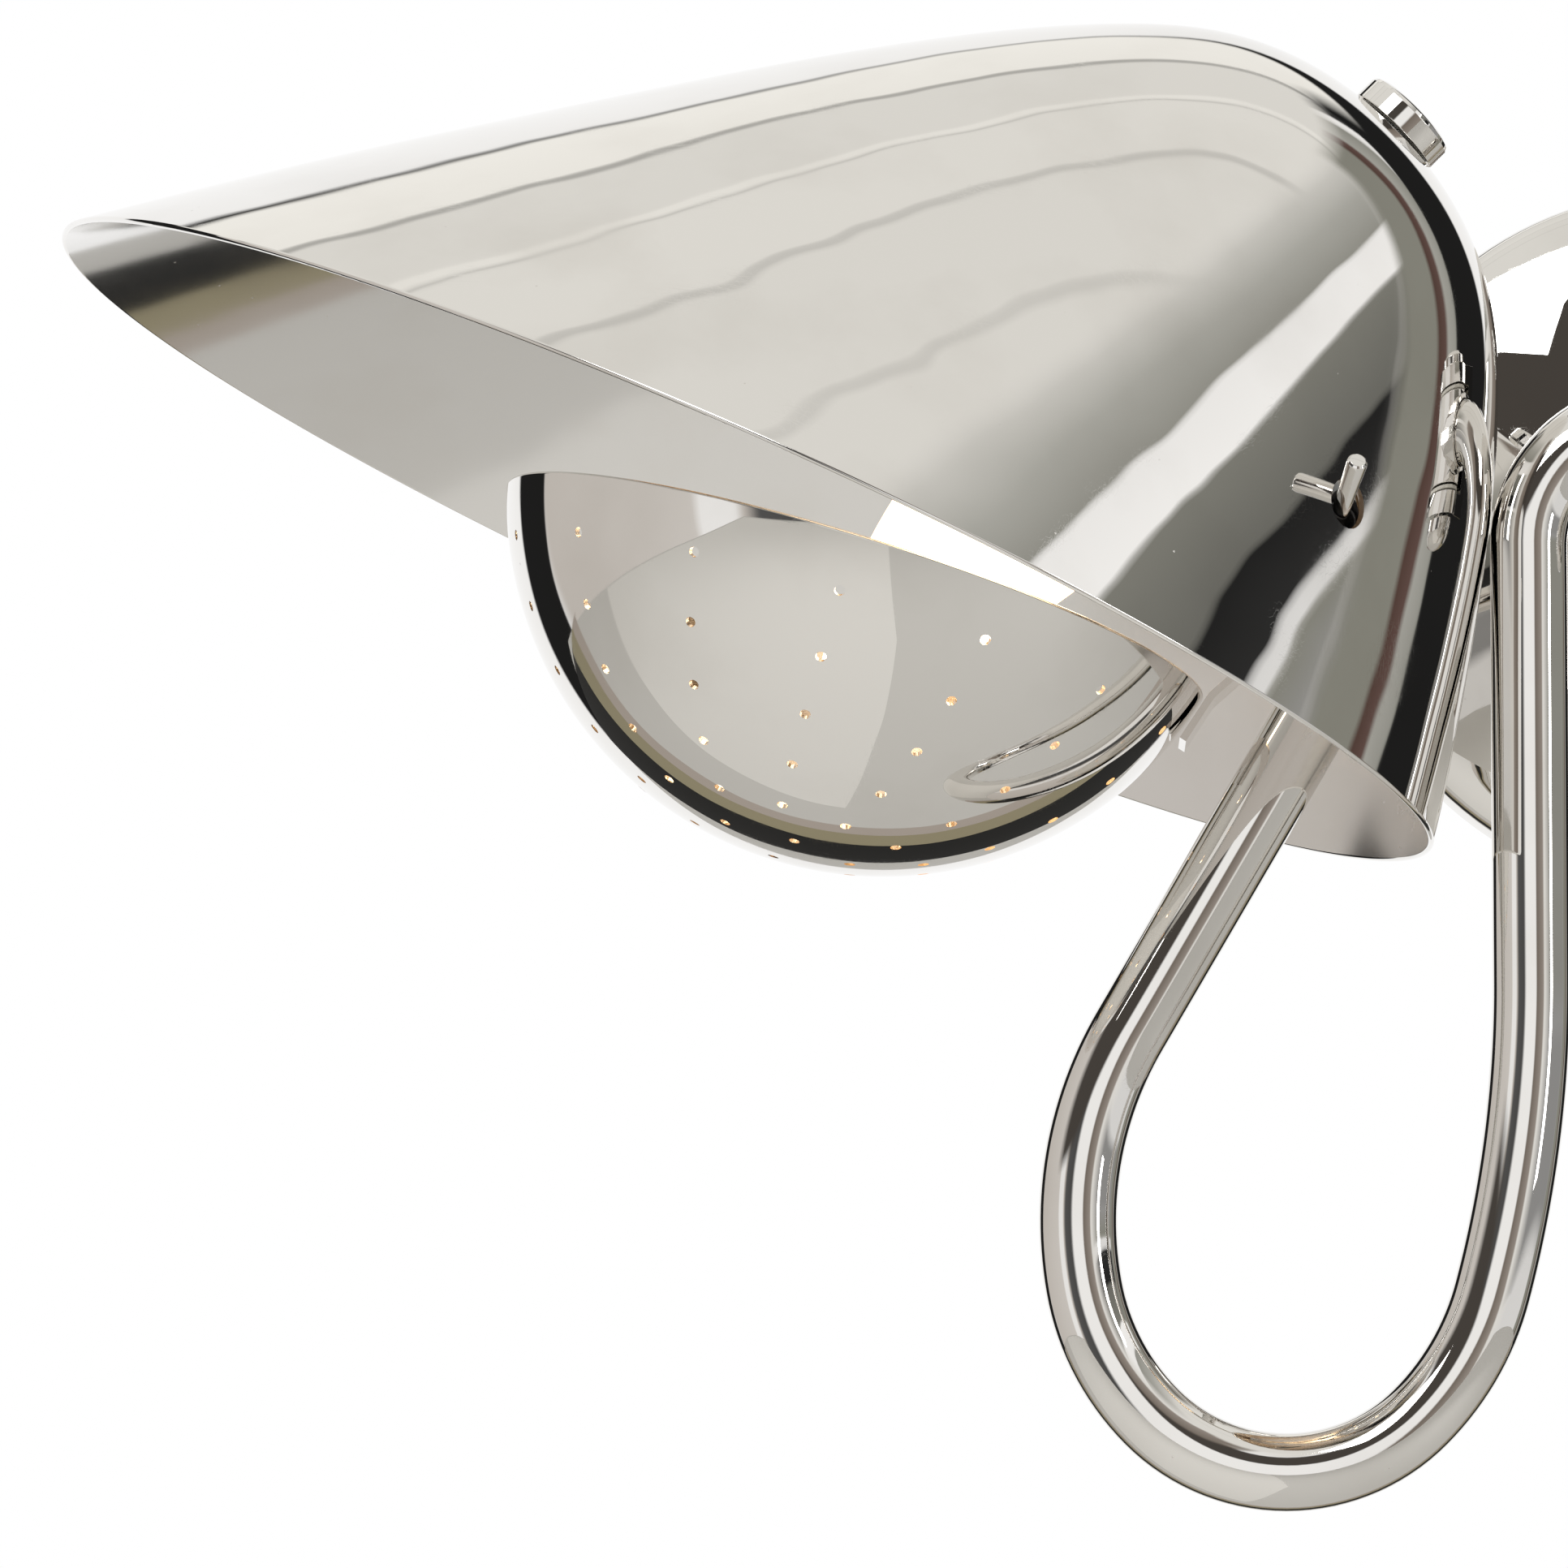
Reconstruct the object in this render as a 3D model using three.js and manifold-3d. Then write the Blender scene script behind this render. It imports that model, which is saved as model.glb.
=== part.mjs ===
// Swing arm wall sconce: a wall canopy carries a swivel, the swivel carries a looped tube,
// and the tube's end carries a spun hood, a candle bulb and a perforated bowl.
// Millimetres, +Z up. The wall is the plane Y = 0 and the lamp stands out towards -Y.
import * as THREE from 'three';
import { mergeVertices } from 'three/addons/utils/BufferGeometryUtils.js';
import Module from 'manifold-3d';

const wasm = await Module();
wasm.setup();
const { Manifold, Mesh: SolidMesh } = wasm;

// ---------------------------------------------------------------- driving dimensions
const FIT_GAP = 0.3;              // clearance left between separate touching pieces
const ROUND = 18;                 // facets round a small turned piece

const PLANE_Y = -130;             // plane of the arm's loop and of the hood's symmetry
const TUBE_R = 6.35;              // outside radius of the half-inch tube
const TUBE_BORE_R = 5.35;
const TUBE_FACETS = 28;           // facets round the straight stem and the hub that grips it

const CANOPY_R = 60;
const CANOPY_DEPTH = 22;
const CANOPY_WALL = 1.2;
const STUD_Z = 33;                // canopy studs stand above and below the centre
const STUD_R = 2;
const CROSSBAR = { width: 18, thick: 2.5, rimGap: 10, slotIn: 7 }; // gap to the rim, slot from the end
const HUB_NIPPLE = { r: 4.75, bore: 3.2 };

const BARREL = { r: 8, half: 9.4 };
const EAR = { low: 10.8, high: 15 };
const BOSS = { r: TUBE_R + 1.45, out: 12, floor: 9 };
const WEB_T = 4.4;                // web between the yoke's ears
const PIN_R = 3;

const RUN_X = -31.6;              // the arm's upright run
const TOP_BEND_R = 20.8;
const RUN_LEAN_R = 196;           // slow curve that leads the run into the loop
const SIDE_BEND_R = 45.4;
const FOOT_BEND_R = 30.5;
const BACK_BEND_R = 39.5;
const RISE_BEND_R = 61.8;
const RUN_BOTTOM_Z = -92;         // where the upright run starts to lean
const RISE_ANGLE = 59.8;          // slope of the tube where it rises into the hood
const RISE_LENGTH = 89;

const APEX = [-TUBE_R - 47.05, PLANE_Y, 47.6];   // the heel clears the arm's upright run
const HOOD_WALL = 1.0;
const HOOD_PROFILE = [
  [0, 0], [10, 0.7], [19.7, 2.8], [31.3, 9], [42, 18.2], [52.5, 29.7], [65.3, 46], [78.3, 65],
  [91.2, 85], [103.6, 104.2], [120.5, 131.6], [134, 154.5], [144, 172],
];
const HOOD_TIP = [-142.1, 166.2]; // ends of the oblique rim, across and along the hood's axis
const HOOD_HEEL = [85.5, 79.2];
const HOOD_FACETS = 56;

const BOWL = { r: 61.3, wall: 0.8, depth: 45, holeR: 0.9, facets: 40 };
const BOWL_CENTRE = [-15.8, 101.6];       // centre of the bowl's sphere, in the hood's frame
const BOWL_TURN = 28;                     // degrees between the bowl's and the hood's axes
const BOWL_RINGS = [
  [13, 7], [23.5, 14], [34, 14], [44.5, 14], [55, 14], [66, 14],
];

const STRAP_W = 16;               // head bracket: bent flat bar
const STRAP_T = 2.5;
const STRAP_SEAT = [[-10, 5.45], [14.5, 5.45]];
const FOOT = { lift: 3.05, inner: 9, outer: 7.3 };
const SOCKET_R = 10.5;
const BOWL_STRAP = { width: 12, thick: 1.2 };
const BOWL_STRAP_ON_BAR = [0.42, 0.58, 0.74]; // start, screw and leaving point, as parts of the bar
const BOWL_STRAP_REACH = [[40.2, 62], [45.6, 79], [45.1, 87.4], [46.9, 95.9]];

// ---------------------------------------------------------------- solids
function solid(geometry) {
  const bare = geometry.index ? geometry.toNonIndexed() : geometry.clone();
  bare.deleteAttribute('normal');
  bare.deleteAttribute('uv');
  const welded = mergeVertices(bare, 1e-4);
  const vertProperties = Float32Array.from(welded.attributes.position.array);
  const triVerts = Uint32Array.from(welded.index.array);
  let volume = 0;
  const corner = [new THREE.Vector3(), new THREE.Vector3(), new THREE.Vector3()];
  for (let i = 0; i < triVerts.length; i += 3) {
    corner.forEach((v, k) => v.fromArray(vertProperties, 3 * triVerts[i + k]));
    volume += corner[0].dot(corner[1].clone().cross(corner[2]));
  }
  if (volume < 0) {
    for (let i = 0; i < triVerts.length; i += 3) {
      [triVerts[i], triVerts[i + 1]] = [triVerts[i + 1], triVerts[i]];
    }
  }
  return new Manifold(new SolidMesh({ numProp: 3, vertProperties, triVerts }));
}

function geometryOf(body) {
  const mesh = body.getMesh();
  const geometry = new THREE.BufferGeometry();
  geometry.setAttribute('position', new THREE.BufferAttribute(mesh.vertProperties, 3));
  geometry.setIndex(new THREE.BufferAttribute(mesh.triVerts, 1));
  return geometry;
}

function moved(body, matrix) {
  return solid(geometryOf(body).applyMatrix4(matrix));
}

// A turned piece about +Z. The profile lists [radius, height] round the section.
function turned(profile, facets = ROUND) {
  const onAxis = profile[0][0] === 0;
  const points = profile.map(([r, h]) => new THREE.Vector2(r, h));
  if (!onAxis) points.push(points[0].clone());
  const geometry = new THREE.LatheGeometry(points, facets);
  geometry.rotateX(Math.PI / 2);
  return solid(geometry);
}

function rod(radius, low, high, facets = ROUND) {
  return turned([[0, low], [radius, low], [radius, high], [0, high]], facets);
}

function ring(bore, radius, low, high, facets = ROUND) {
  return turned([[bore, low], [radius, low], [radius, high], [bore, high]], facets);
}

function block(size, centre) {
  const geometry = new THREE.BoxGeometry(...size);
  geometry.translate(...centre);
  return solid(geometry);
}

function hexNut(acrossFlats, bore, low, high) {
  const corner = acrossFlats / Math.sqrt(3);
  return rod(corner, low, high, 6).subtract(rod(bore, low - 1, high + 1, ROUND));
}

// A frame whose +Z runs along `along`, with +X as near `across` as it can be.
function frameAt(origin, along, across) {
  const z = new THREE.Vector3(...along).normalize();
  const y = new THREE.Vector3().crossVectors(z, new THREE.Vector3(...across)).normalize();
  const x = new THREE.Vector3().crossVectors(y, z);
  return new THREE.Matrix4().makeBasis(x, y, z).setPosition(...origin);
}

// ---------------------------------------------------------------- finishes
const looks = {
  nickel: { color: 0xcbc6bf, roughness: 0.06, metalness: 1 },
  plainSteel: { color: 0x9a9a98, roughness: 0.35, metalness: 1 },
  brass: { color: 0xc2a25a, roughness: 0.3, metalness: 1 },
  phenolic: { color: 0x1c1b1a, roughness: 0.45, metalness: 0 },
  nylon: { color: 0xe4e1d8, roughness: 0.5, metalness: 0 },
  glass: { color: 0xfff1da, roughness: 0.05, metalness: 0 },
  filament: { color: 0xffb45a, roughness: 0.6, metalness: 0 },
  earthGreen: { color: 0x2f7d43, roughness: 0.4, metalness: 0 },
};

const group = new THREE.Group();
group.name = 'swing_arm_wall_sconce';

function add(name, body, look) {
  const geometry = geometryOf(body).toNonIndexed();
  geometry.computeVertexNormals();
  const mesh = new THREE.Mesh(geometry, new THREE.MeshStandardMaterial(looks[look]));
  mesh.material.name = name;
  mesh.name = name;
  group.add(mesh);
}

// ---------------------------------------------------------------- wall side
// Pieces turned about the canopy's axis: +Z of this frame points out of the wall.
const wallFrame = frameAt([0, 0, 0], [0, -1, 0], [1, 0, 0]);
const onWall = (body) => moved(body, wallFrame);
const acrossWall = (x, z) => new THREE.Matrix4().makeTranslation(x, 0, z);

function shellProfile(outer, wall) {
  const last = outer.length - 1;
  const inner = outer.map(([r, h], i) => {
    const [r0, h0] = outer[Math.max(i - 1, 0)];
    const [r1, h1] = outer[Math.min(i + 1, last)];
    const length = Math.hypot(r1 - r0, h1 - h0);
    return [r - wall * (h1 - h0) / length, h + wall * (r1 - r0) / length];
  });
  return { outer, inner };
}

const canopyFace = shellProfile([
  [CANOPY_R, FIT_GAP], [CANOPY_R, 8], [CANOPY_R - 0.8, 11], [CANOPY_R - 3, 13.5],
  [CANOPY_R - 7, 15.2], [CANOPY_R - 16, 17.5], [30, 20], [16, 21.6], [5.3, CANOPY_DEPTH],
], CANOPY_WALL);
canopyFace.inner[0] = [CANOPY_R - CANOPY_WALL, FIT_GAP];
canopyFace.inner[8] = [5.3, CANOPY_DEPTH - CANOPY_WALL];
let canopy = onWall(turned([...canopyFace.outer, ...canopyFace.inner.reverse()], 44));
for (const side of [-1, 1]) {
  const hole = moved(onWall(rod(STUD_R + 0.4, 10, 30)), acrossWall(0, side * STUD_Z));
  canopy = canopy.subtract(hole);
}
add('canopy', canopy, 'nickel');

const barHalf = CANOPY_R - CROSSBAR.rimGap;
let crossbar = block(
  [CROSSBAR.width, CROSSBAR.thick, 2 * barHalf],
  [0, -CROSSBAR.thick / 2, 0],
);
const barHole = (radius, x, z) => moved(onWall(rod(radius, -2, 6)), acrossWall(x, z));
for (const side of [-1, 1]) {
  crossbar = crossbar
    .subtract(barHole(STUD_R + FIT_GAP, 0, side * STUD_Z))
    .subtract(barHole(5, 0, side * 17))
    .subtract(block([4.6, 8, 6], [0, 0, side * (barHalf - CROSSBAR.slotIn)]));
}
const GROUND_AT = [5.4, -5];
crossbar = crossbar.subtract(barHole(2, ...GROUND_AT));
add('crossbar', crossbar, 'plainSteel');

for (const [word, side] of [['upper', 1], ['lower', -1]]) {
  const at = acrossWall(0, side * STUD_Z);
  const placed = (body) => moved(onWall(body), at);
  add(`${word}_canopy_stud`, placed(rod(STUD_R, FIT_GAP, 24)), 'plainSteel');
  add(`${word}_stud_nut`, placed(hexNut(7, STUD_R + FIT_GAP, 2.8, 5.4)), 'plainSteel');
  const cap = turned([
    [0, 28], [2.6, 27.4], [4.3, 25.6], [5, 23.2], [5, 20.6], [2.3, 20.6], [2.3, 24.3], [0, 24.3],
  ]);
  add(`${word}_cap_nut`, placed(cap), 'nickel');
}

const groundScrew = turned([
  [0, 0.5], [1.7, 0.5], [1.7, 2.8], [3.2, 2.8], [3.2, 4.4], [2, 5], [0, 5],
]);
add('ground_screw', moved(onWall(groundScrew), acrossWall(...GROUND_AT)), 'earthGreen');

add('hub_nipple', onWall(ring(HUB_NIPPLE.bore, HUB_NIPPLE.r, 9, 40)), 'plainSteel');
add('hub_lock_washer', onWall(ring(HUB_NIPPLE.r + FIT_GAP, 8.4, 19.2, 20.3)), 'plainSteel');
add('hub_lock_nut', onWall(hexNut(14, HUB_NIPPLE.r + FIT_GAP, 15.2, 18.9)), 'plainSteel');

const hubTurned = turned([
  [HUB_NIPPLE.r + FIT_GAP, 22.3], [14, 22.3], [14, 24.5], [12.4, 26], [9.6, 28], [9, 30], [9, 38.4],
  [8.4, 39], [TUBE_R + FIT_GAP, 39], [TUBE_R + FIT_GAP, 29], [HUB_NIPPLE.r + FIT_GAP, 29],
], TUBE_FACETS);
const SET_SCREW_AT = 34.5;
const setScrewBore = rod(1.7 + FIT_GAP, -12, 1.35 - TUBE_R, 16);
const fromBelow = new THREE.Matrix4().makeTranslation(0, -SET_SCREW_AT, 0);
add('canopy_hub', onWall(hubTurned).subtract(moved(setScrewBore, fromBelow)), 'nickel');
add('hub_set_screw', moved(rod(1.7, -9.2, -TUBE_R - FIT_GAP, 16), fromBelow), 'plainSteel');

const STEM = { near: 29.3, far: 113.7 };
add('stem_tube', onWall(ring(TUBE_BORE_R, TUBE_R, STEM.near, STEM.far, TUBE_FACETS)), 'nickel');

// Yoke: two ears and a web on a spigot that plugs into the stem.
const yokeDepth = -PLANE_Y;
const YOKE_SHOULDER = STEM.far + FIT_GAP;
let yoke = onWall(turned([
  [0, yokeDepth - 26], [TUBE_BORE_R - FIT_GAP, yokeDepth - 26], [TUBE_BORE_R - FIT_GAP, YOKE_SHOULDER],
  [7.2, YOKE_SHOULDER], [7.2, yokeDepth - 12], [0, yokeDepth - 12],
], TUBE_FACETS));
const webAt = Math.max(BARREL.r, BOSS.r) + 0.6 + WEB_T / 2;   // clear of the barrel and its boss
yoke = yoke.add(block([12, WEB_T, 2 * EAR.high], [0, PLANE_Y + webAt, 0]));
for (const side of [-1, 1]) {
  const middle = side * (EAR.low + EAR.high) / 2;
  const ear = rod(BARREL.r, EAR.low, EAR.high)
    .add(block([12, 12, EAR.high - EAR.low], [0, 6, (EAR.low + EAR.high) / 2]));
  const placed = side > 0 ? ear : moved(ear, new THREE.Matrix4().makeRotationY(Math.PI));
  yoke = yoke.add(moved(placed, new THREE.Matrix4().makeTranslation(0, PLANE_Y, 0)));
  yoke = yoke.subtract(moved(
    rod(PIN_R + FIT_GAP, middle - 6, middle + 6),
    new THREE.Matrix4().makeTranslation(0, PLANE_Y, 0),
  ));
}
add('swivel_yoke', yoke, 'nickel');

const atSwivel = (body) => moved(body, new THREE.Matrix4().makeTranslation(0, PLANE_Y, 0));
add('swivel_pin', atSwivel(turned([
  [0, -18.4], [PIN_R, -18.4], [PIN_R, 15.3], [6.2, 15.3], [6.2, 17.4], [5, 18.4], [0, 18.8],
])), 'nickel');
add('swivel_cap_nut', atSwivel(turned([
  [0, -18.7], [PIN_R + FIT_GAP, -18.7], [PIN_R + FIT_GAP, -15.3], [5.8, -15.3], [5.8, -18.6],
  [4.4, -20.6], [0, -21.4],
])), 'nickel');
add('upper_swivel_washer', atSwivel(ring(PIN_R + FIT_GAP, 7.6, 9.7, 10.5)), 'nylon');
add('lower_swivel_washer', atSwivel(ring(PIN_R + FIT_GAP, 7.6, -10.5, -9.7)), 'nylon');

// ---------------------------------------------------------------- arm
const outward = frameAt([0, 0, 0], [-1, 0, 0], [0, 1, 0]);
const barrel = rod(BARREL.r, -BARREL.half, BARREL.half)
  .add(moved(rod(BOSS.r, 0, BOSS.out), outward))
  .subtract(moved(rod(TUBE_R + FIT_GAP, BOSS.floor, BOSS.out + 2), outward))
  .subtract(rod(PIN_R + FIT_GAP, -12, 12));
add('swivel_barrel', atSwivel(barrel), 'nickel');

// Centre line of the arm as a chain of straights and bends. The heading is in degrees
// from +X in the arm's plane, and every bend turns clockwise seen from the lamp's front.
function armStations() {
  const stations = [];
  let [x, z, heading] = [-(BOSS.floor + FIT_GAP), 0, 180];
  const mark = () => stations.push([x, z, heading]);
  const straight = (length) => {
    x += length * Math.cos(heading * Math.PI / 180);
    z += length * Math.sin(heading * Math.PI / 180);
    mark();
  };
  const bend = (radius, degrees, steps) => {
    const turn = Math.sign(degrees);
    const toCentre = (heading + 90 * turn) * Math.PI / 180;
    const [cx, cz] = [x + radius * Math.cos(toCentre), z + radius * Math.sin(toCentre)];
    const start = heading;
    for (let i = 1; i <= steps; i += 1) {
      heading = start + degrees * i / steps;
      const out = (heading - 90 * turn) * Math.PI / 180;
      x = cx + radius * Math.cos(out);
      z = cz + radius * Math.sin(out);
      mark();
    }
  };
  mark();
  straight(-RUN_X - TOP_BEND_R - BOSS.floor - FIT_GAP);
  bend(TOP_BEND_R, 90, 9);
  straight(-RUN_BOTTOM_Z - TOP_BEND_R);
  bend(RUN_LEAN_R, -15, 4);
  bend(SIDE_BEND_R, -30, 4);
  bend(FOOT_BEND_R, -90, 10);
  bend(BACK_BEND_R, -35, 4);
  bend(RISE_BEND_R, RISE_ANGLE - 100, 5);
  straight(RISE_LENGTH);
  return stations;
}

function sweptTube(stations, radius, bore, facets) {
  const positions = [];
  for (const r of [radius, bore]) {
    for (const [x, z, heading] of stations) {
      const side = (heading + 90) * Math.PI / 180;
      for (let k = 0; k < facets; k += 1) {
        const angle = 2 * Math.PI * k / facets;
        const [a, b] = [r * Math.cos(angle), r * Math.sin(angle)];
        positions.push(x + a * Math.cos(side), PLANE_Y + b, z + a * Math.sin(side));
      }
    }
  }
  const count = stations.length;
  const at = (skin, i, k) => (skin * count + i) * facets + (k % facets);
  const index = [];
  const quad = (a, b, c, d) => index.push(a, b, c, a, c, d);
  for (let k = 0; k < facets; k += 1) {
    for (let i = 0; i < count - 1; i += 1) {
      quad(at(0, i, k), at(0, i + 1, k), at(0, i + 1, k + 1), at(0, i, k + 1));
      quad(at(1, i, k), at(1, i, k + 1), at(1, i + 1, k + 1), at(1, i + 1, k));
    }
    quad(at(0, 0, k), at(0, 0, k + 1), at(1, 0, k + 1), at(1, 0, k));
    const end = count - 1;
    quad(at(0, end, k), at(1, end, k), at(1, end, k + 1), at(0, end, k + 1));
  }
  const geometry = new THREE.BufferGeometry();
  geometry.setAttribute('position', new THREE.Float32BufferAttribute(positions, 3));
  geometry.setIndex(index);
  return solid(geometry);
}

const stations = armStations();
add('arm_tube', sweptTube(stations, TUBE_R, TUBE_BORE_R, 18), 'nickel');

// Fittings on the arm's upper end. +Z of this frame runs out of the tube's mouth.
const [endX, endZ, endHeading] = stations[stations.length - 1];
const rise = [Math.cos(endHeading * Math.PI / 180), 0, Math.sin(endHeading * Math.PI / 180)];
const endFrame = frameAt([endX, PLANE_Y, endZ], rise, [0, 1, 0]);
const onArmEnd = (body) => moved(body, endFrame);
const END_NIPPLE_R = 3.7;
const endBore = END_NIPPLE_R + FIT_GAP;
const bushR = TUBE_BORE_R - FIT_GAP;
add('arm_end_bush', onArmEnd(turned([
  [endBore, -9], [bushR, -9], [bushR, FIT_GAP], [7, FIT_GAP], [7, 1.5], [endBore, 1.5],
])), 'plainSteel');
add('arm_end_nipple', onArmEnd(ring(2.5, END_NIPPLE_R, -8.5, 11)), 'plainSteel');
add('arm_end_washer', onArmEnd(ring(endBore, 6.6, 4.6, 5.6)), 'plainSteel');
add('arm_end_nut', onArmEnd(hexNut(11.5, endBore, 5.9, 9.6)), 'plainSteel');

// ---------------------------------------------------------------- head
// Frame of the hood: +Z from the apex down the axis, +X towards the heel, +Y to the front.
const axisDown = [-Math.SQRT1_2, 0, -Math.SQRT1_2];
const headFrame = frameAt(APEX, axisDown, [Math.SQRT1_2, 0, -Math.SQRT1_2]);
const inHead = (body) => moved(body, headFrame);

function flatBar(path, thick, width) {
  let bar = null;
  const join = (piece) => {
    bar = bar ? bar.add(piece) : piece;
  };
  for (let i = 0; i < path.length - 1; i += 1) {
    const [x0, z0] = path[i];
    const [x1, z1] = path[i + 1];
    const length = Math.hypot(x1 - x0, z1 - z0);
    const segment = block([thick, width, length], [0, 0, 0]);
    const turn = new THREE.Matrix4().makeRotationY(Math.atan2(x1 - x0, z1 - z0));
    join(moved(segment, turn.setPosition((x0 + x1) / 2, 0, (z0 + z1) / 2)));
    if (i > 0) {
      const lying = new THREE.Matrix4().makeRotationX(Math.PI / 2).setPosition(x0, 0, z0);
      join(moved(rod(thick / 2, -width / 2, width / 2, 16), lying));
    }
  }
  return bar;
}

// The bracket's foot lies square across the mouth of the arm.
const toHead = new THREE.Matrix4().copy(headFrame).invert();
const footPoint = (along) => {
  const p = new THREE.Vector3(0, along, FOOT.lift).applyMatrix4(endFrame).applyMatrix4(toHead);
  return [p.x, p.z];
};
const strapPath = [...STRAP_SEAT, footPoint(FOOT.inner), footPoint(-FOOT.outer)];
const [, kneeB, kneeC] = strapPath;
const slope = Math.atan2(kneeC[0] - kneeB[0], kneeC[1] - kneeB[1]);
const onBar = (part, lift) => [
  kneeB[0] + part * (kneeC[0] - kneeB[0]) - lift * Math.cos(slope),
  kneeB[1] + part * (kneeC[1] - kneeB[1]) + lift * Math.sin(slope),
];
const strapLift = (STRAP_T + BOWL_STRAP.thick) / 2 + FIT_GAP;
const [strapStart, strapScrewPart, strapLeave] = BOWL_STRAP_ON_BAR;
const strapScrewAt = onBar(strapScrewPart, strapLift);
// +Z of this frame runs from the bulb side of the two straps outwards.
const strapScrewFrame = frameAt(
  [strapScrewAt[0], 0, strapScrewAt[1]],
  [Math.cos(slope), 0, -Math.sin(slope)],
  [0, 1, 0],
);
const strapBore = moved(rod(1.8 + FIT_GAP, -4, 8, 16), strapScrewFrame);
const nippleHole = rod(HUB_NIPPLE.r + FIT_GAP, -20, 12);
const endHole = moved(rod(endBore, -6, 14), toHead.clone().multiply(endFrame));
const bracket = flatBar(strapPath, STRAP_T, STRAP_W)
  .subtract(nippleHole)
  .subtract(strapBore)
  .subtract(endHole);
add('head_bracket', inHead(bracket), 'plainSteel');

function smoothProfile(points, count) {
  const curve = new THREE.CatmullRomCurve3(
    points.map(([r, h]) => new THREE.Vector3(r, h, 0)),
    false,
    'centripetal',
  );
  return curve.getSpacedPoints(count).map((p) => [p.x, p.y]);
}

const [firstR, firstH] = HOOD_PROFILE[1];
const hoodMouth = [HUB_NIPPLE.r + 0.5, 0.2];  // edge of the nipple's hole in the crown
const hoodSkin = smoothProfile([[-firstR, firstH], ...HOOD_PROFILE], 18)
  .filter(([r]) => r > hoodMouth[0] + 1);
hoodSkin.unshift(hoodMouth);
const insetSkin = (inset) => shellProfile(hoodSkin, inset).inner;
const hoodInner = insetSkin(HOOD_WALL);
hoodInner[0] = [hoodMouth[0], hoodMouth[1] + HOOD_WALL];

// Everything beyond the oblique rim plane is trimmed away.
const rimRun = [HOOD_HEEL[0] - HOOD_TIP[0], HOOD_HEEL[1] - HOOD_TIP[1]];
const rimTurn = Math.atan2(-rimRun[1], rimRun[0]);
const TRIM_SIZE = 500;
const trim = moved(
  block([TRIM_SIZE, TRIM_SIZE, TRIM_SIZE], [0, 0, TRIM_SIZE / 2]),
  new THREE.Matrix4().makeRotationY(rimTurn).setPosition(
    (HOOD_TIP[0] + HOOD_HEEL[0]) / 2,
    0,
    (HOOD_TIP[1] + HOOD_HEEL[1]) / 2,
  ),
);

// Toggle switch: its lever leaves the hood's front wall through a round hole.
const LEVER_ROOT = [42.6, 58.9, 56.6];
const headDirection = (v) => new THREE.Vector3(...v).transformDirection(toHead);
const leverLine = headDirection([0.1975, -0.835, 0.509]);
const switchLine = headDirection([0.405, -0.828, 0.384]);
const LEVER = { inside: 5.6, outside: 9.6, root: 1.4, tip: 1.75, ball: 1.7 };
const leverPivot = new THREE.Vector3(...LEVER_ROOT).addScaledVector(leverLine, -LEVER.inside);
const switchFrame = frameAt(leverPivot.toArray(), switchLine.toArray(), [1, 0, 0]);
const leverFrame = frameAt(leverPivot.toArray(), leverLine.toArray(), [1, 0, 0]);
const inSwitch = (body) => moved(body, switchFrame);

const hood = turned([...hoodSkin, ...hoodInner.reverse()], HOOD_FACETS)
  .subtract(trim)
  .subtract(inSwitch(rod(3.8, 2, 14, 20)));
add('hood', inHead(hood), 'nickel');

const hoodInside = insetSkin(HOOD_WALL + FIT_GAP).filter(([, h]) => h > 3);
const innerSpace = turned(
  [[0, hoodInside[0][1]], ...hoodInside, [0, hoodInside.at(-1)[1]]],
  HOOD_FACETS,
);
const collar = inSwitch(ring(3.3, 6, -6.2, 12)).intersect(innerSpace);
add('switch_collar', inHead(collar), 'plainSteel');
const switchBody = rod(3, -7, 1.2)
  .add(block([13, 8, 10], [0, 0, -11.5]))
  .subtract(rod(2.5, -2.4, 4));
add('switch_body', inHead(inSwitch(switchBody)), 'phenolic');
const reach = LEVER.inside + LEVER.outside;
const lever = turned([
  [0, -LEVER.ball], [1.2, -1.2], [LEVER.ball, 0], [1.4, 0.9], [LEVER.root, 1.8],
  [LEVER.tip, reach - 0.7], [LEVER.tip - 0.5, reach], [0, reach],
], 20);
add('switch_lever', inHead(moved(lever, leverFrame)), 'nickel');

// Stack on the hood's axis, from the knob outside to the bulb.
const axisBore = HUB_NIPPLE.r + FIT_GAP;
const KNOB = { r: 8.4, skirtBore: 7.5 }; // its skirt hides the washer
add('hood_knob', inHead(turned([
  [0, -4.6], [7.6, -4.4], [KNOB.r, -3.8], [KNOB.r, 0], [KNOB.skirtBore, 0],
  [KNOB.skirtBore, -0.95], [axisBore, -0.95], [axisBore, -3.4], [0, -3.4],
], 36)), 'nickel');
add('knob_washer', inHead(ring(axisBore, KNOB.skirtBore - FIT_GAP, -0.65, -0.15)), 'nylon');
add('head_nipple', inHead(ring(HUB_NIPPLE.bore, HUB_NIPPLE.r, -3.1, 17.5)), 'plainSteel');
add('hood_seat_washer', inHead(ring(axisBore, 9.6, 2.3, 3.9)), 'plainSteel');
add('head_lock_nut', inHead(hexNut(14, axisBore, 7, 10.5)), 'plainSteel');
add('socket_body', inHead(turned([
  [axisBore, 10.8], [9.4, 10.8], [SOCKET_R, 12], [SOCKET_R, 42], [7.3, 42], [7.3, 20], [axisBore, 20],
])), 'phenolic');
add('socket_contact', inHead(turned([
  [0, 20.3], [6.9, 20.3], [6.9, 20.9], [2, 20.9], [2, 22.6], [0, 22.6],
])), 'brass');
add('socket_screw_shell', inHead(ring(6.4, 7, 23.4, 41.4)), 'brass');

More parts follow.
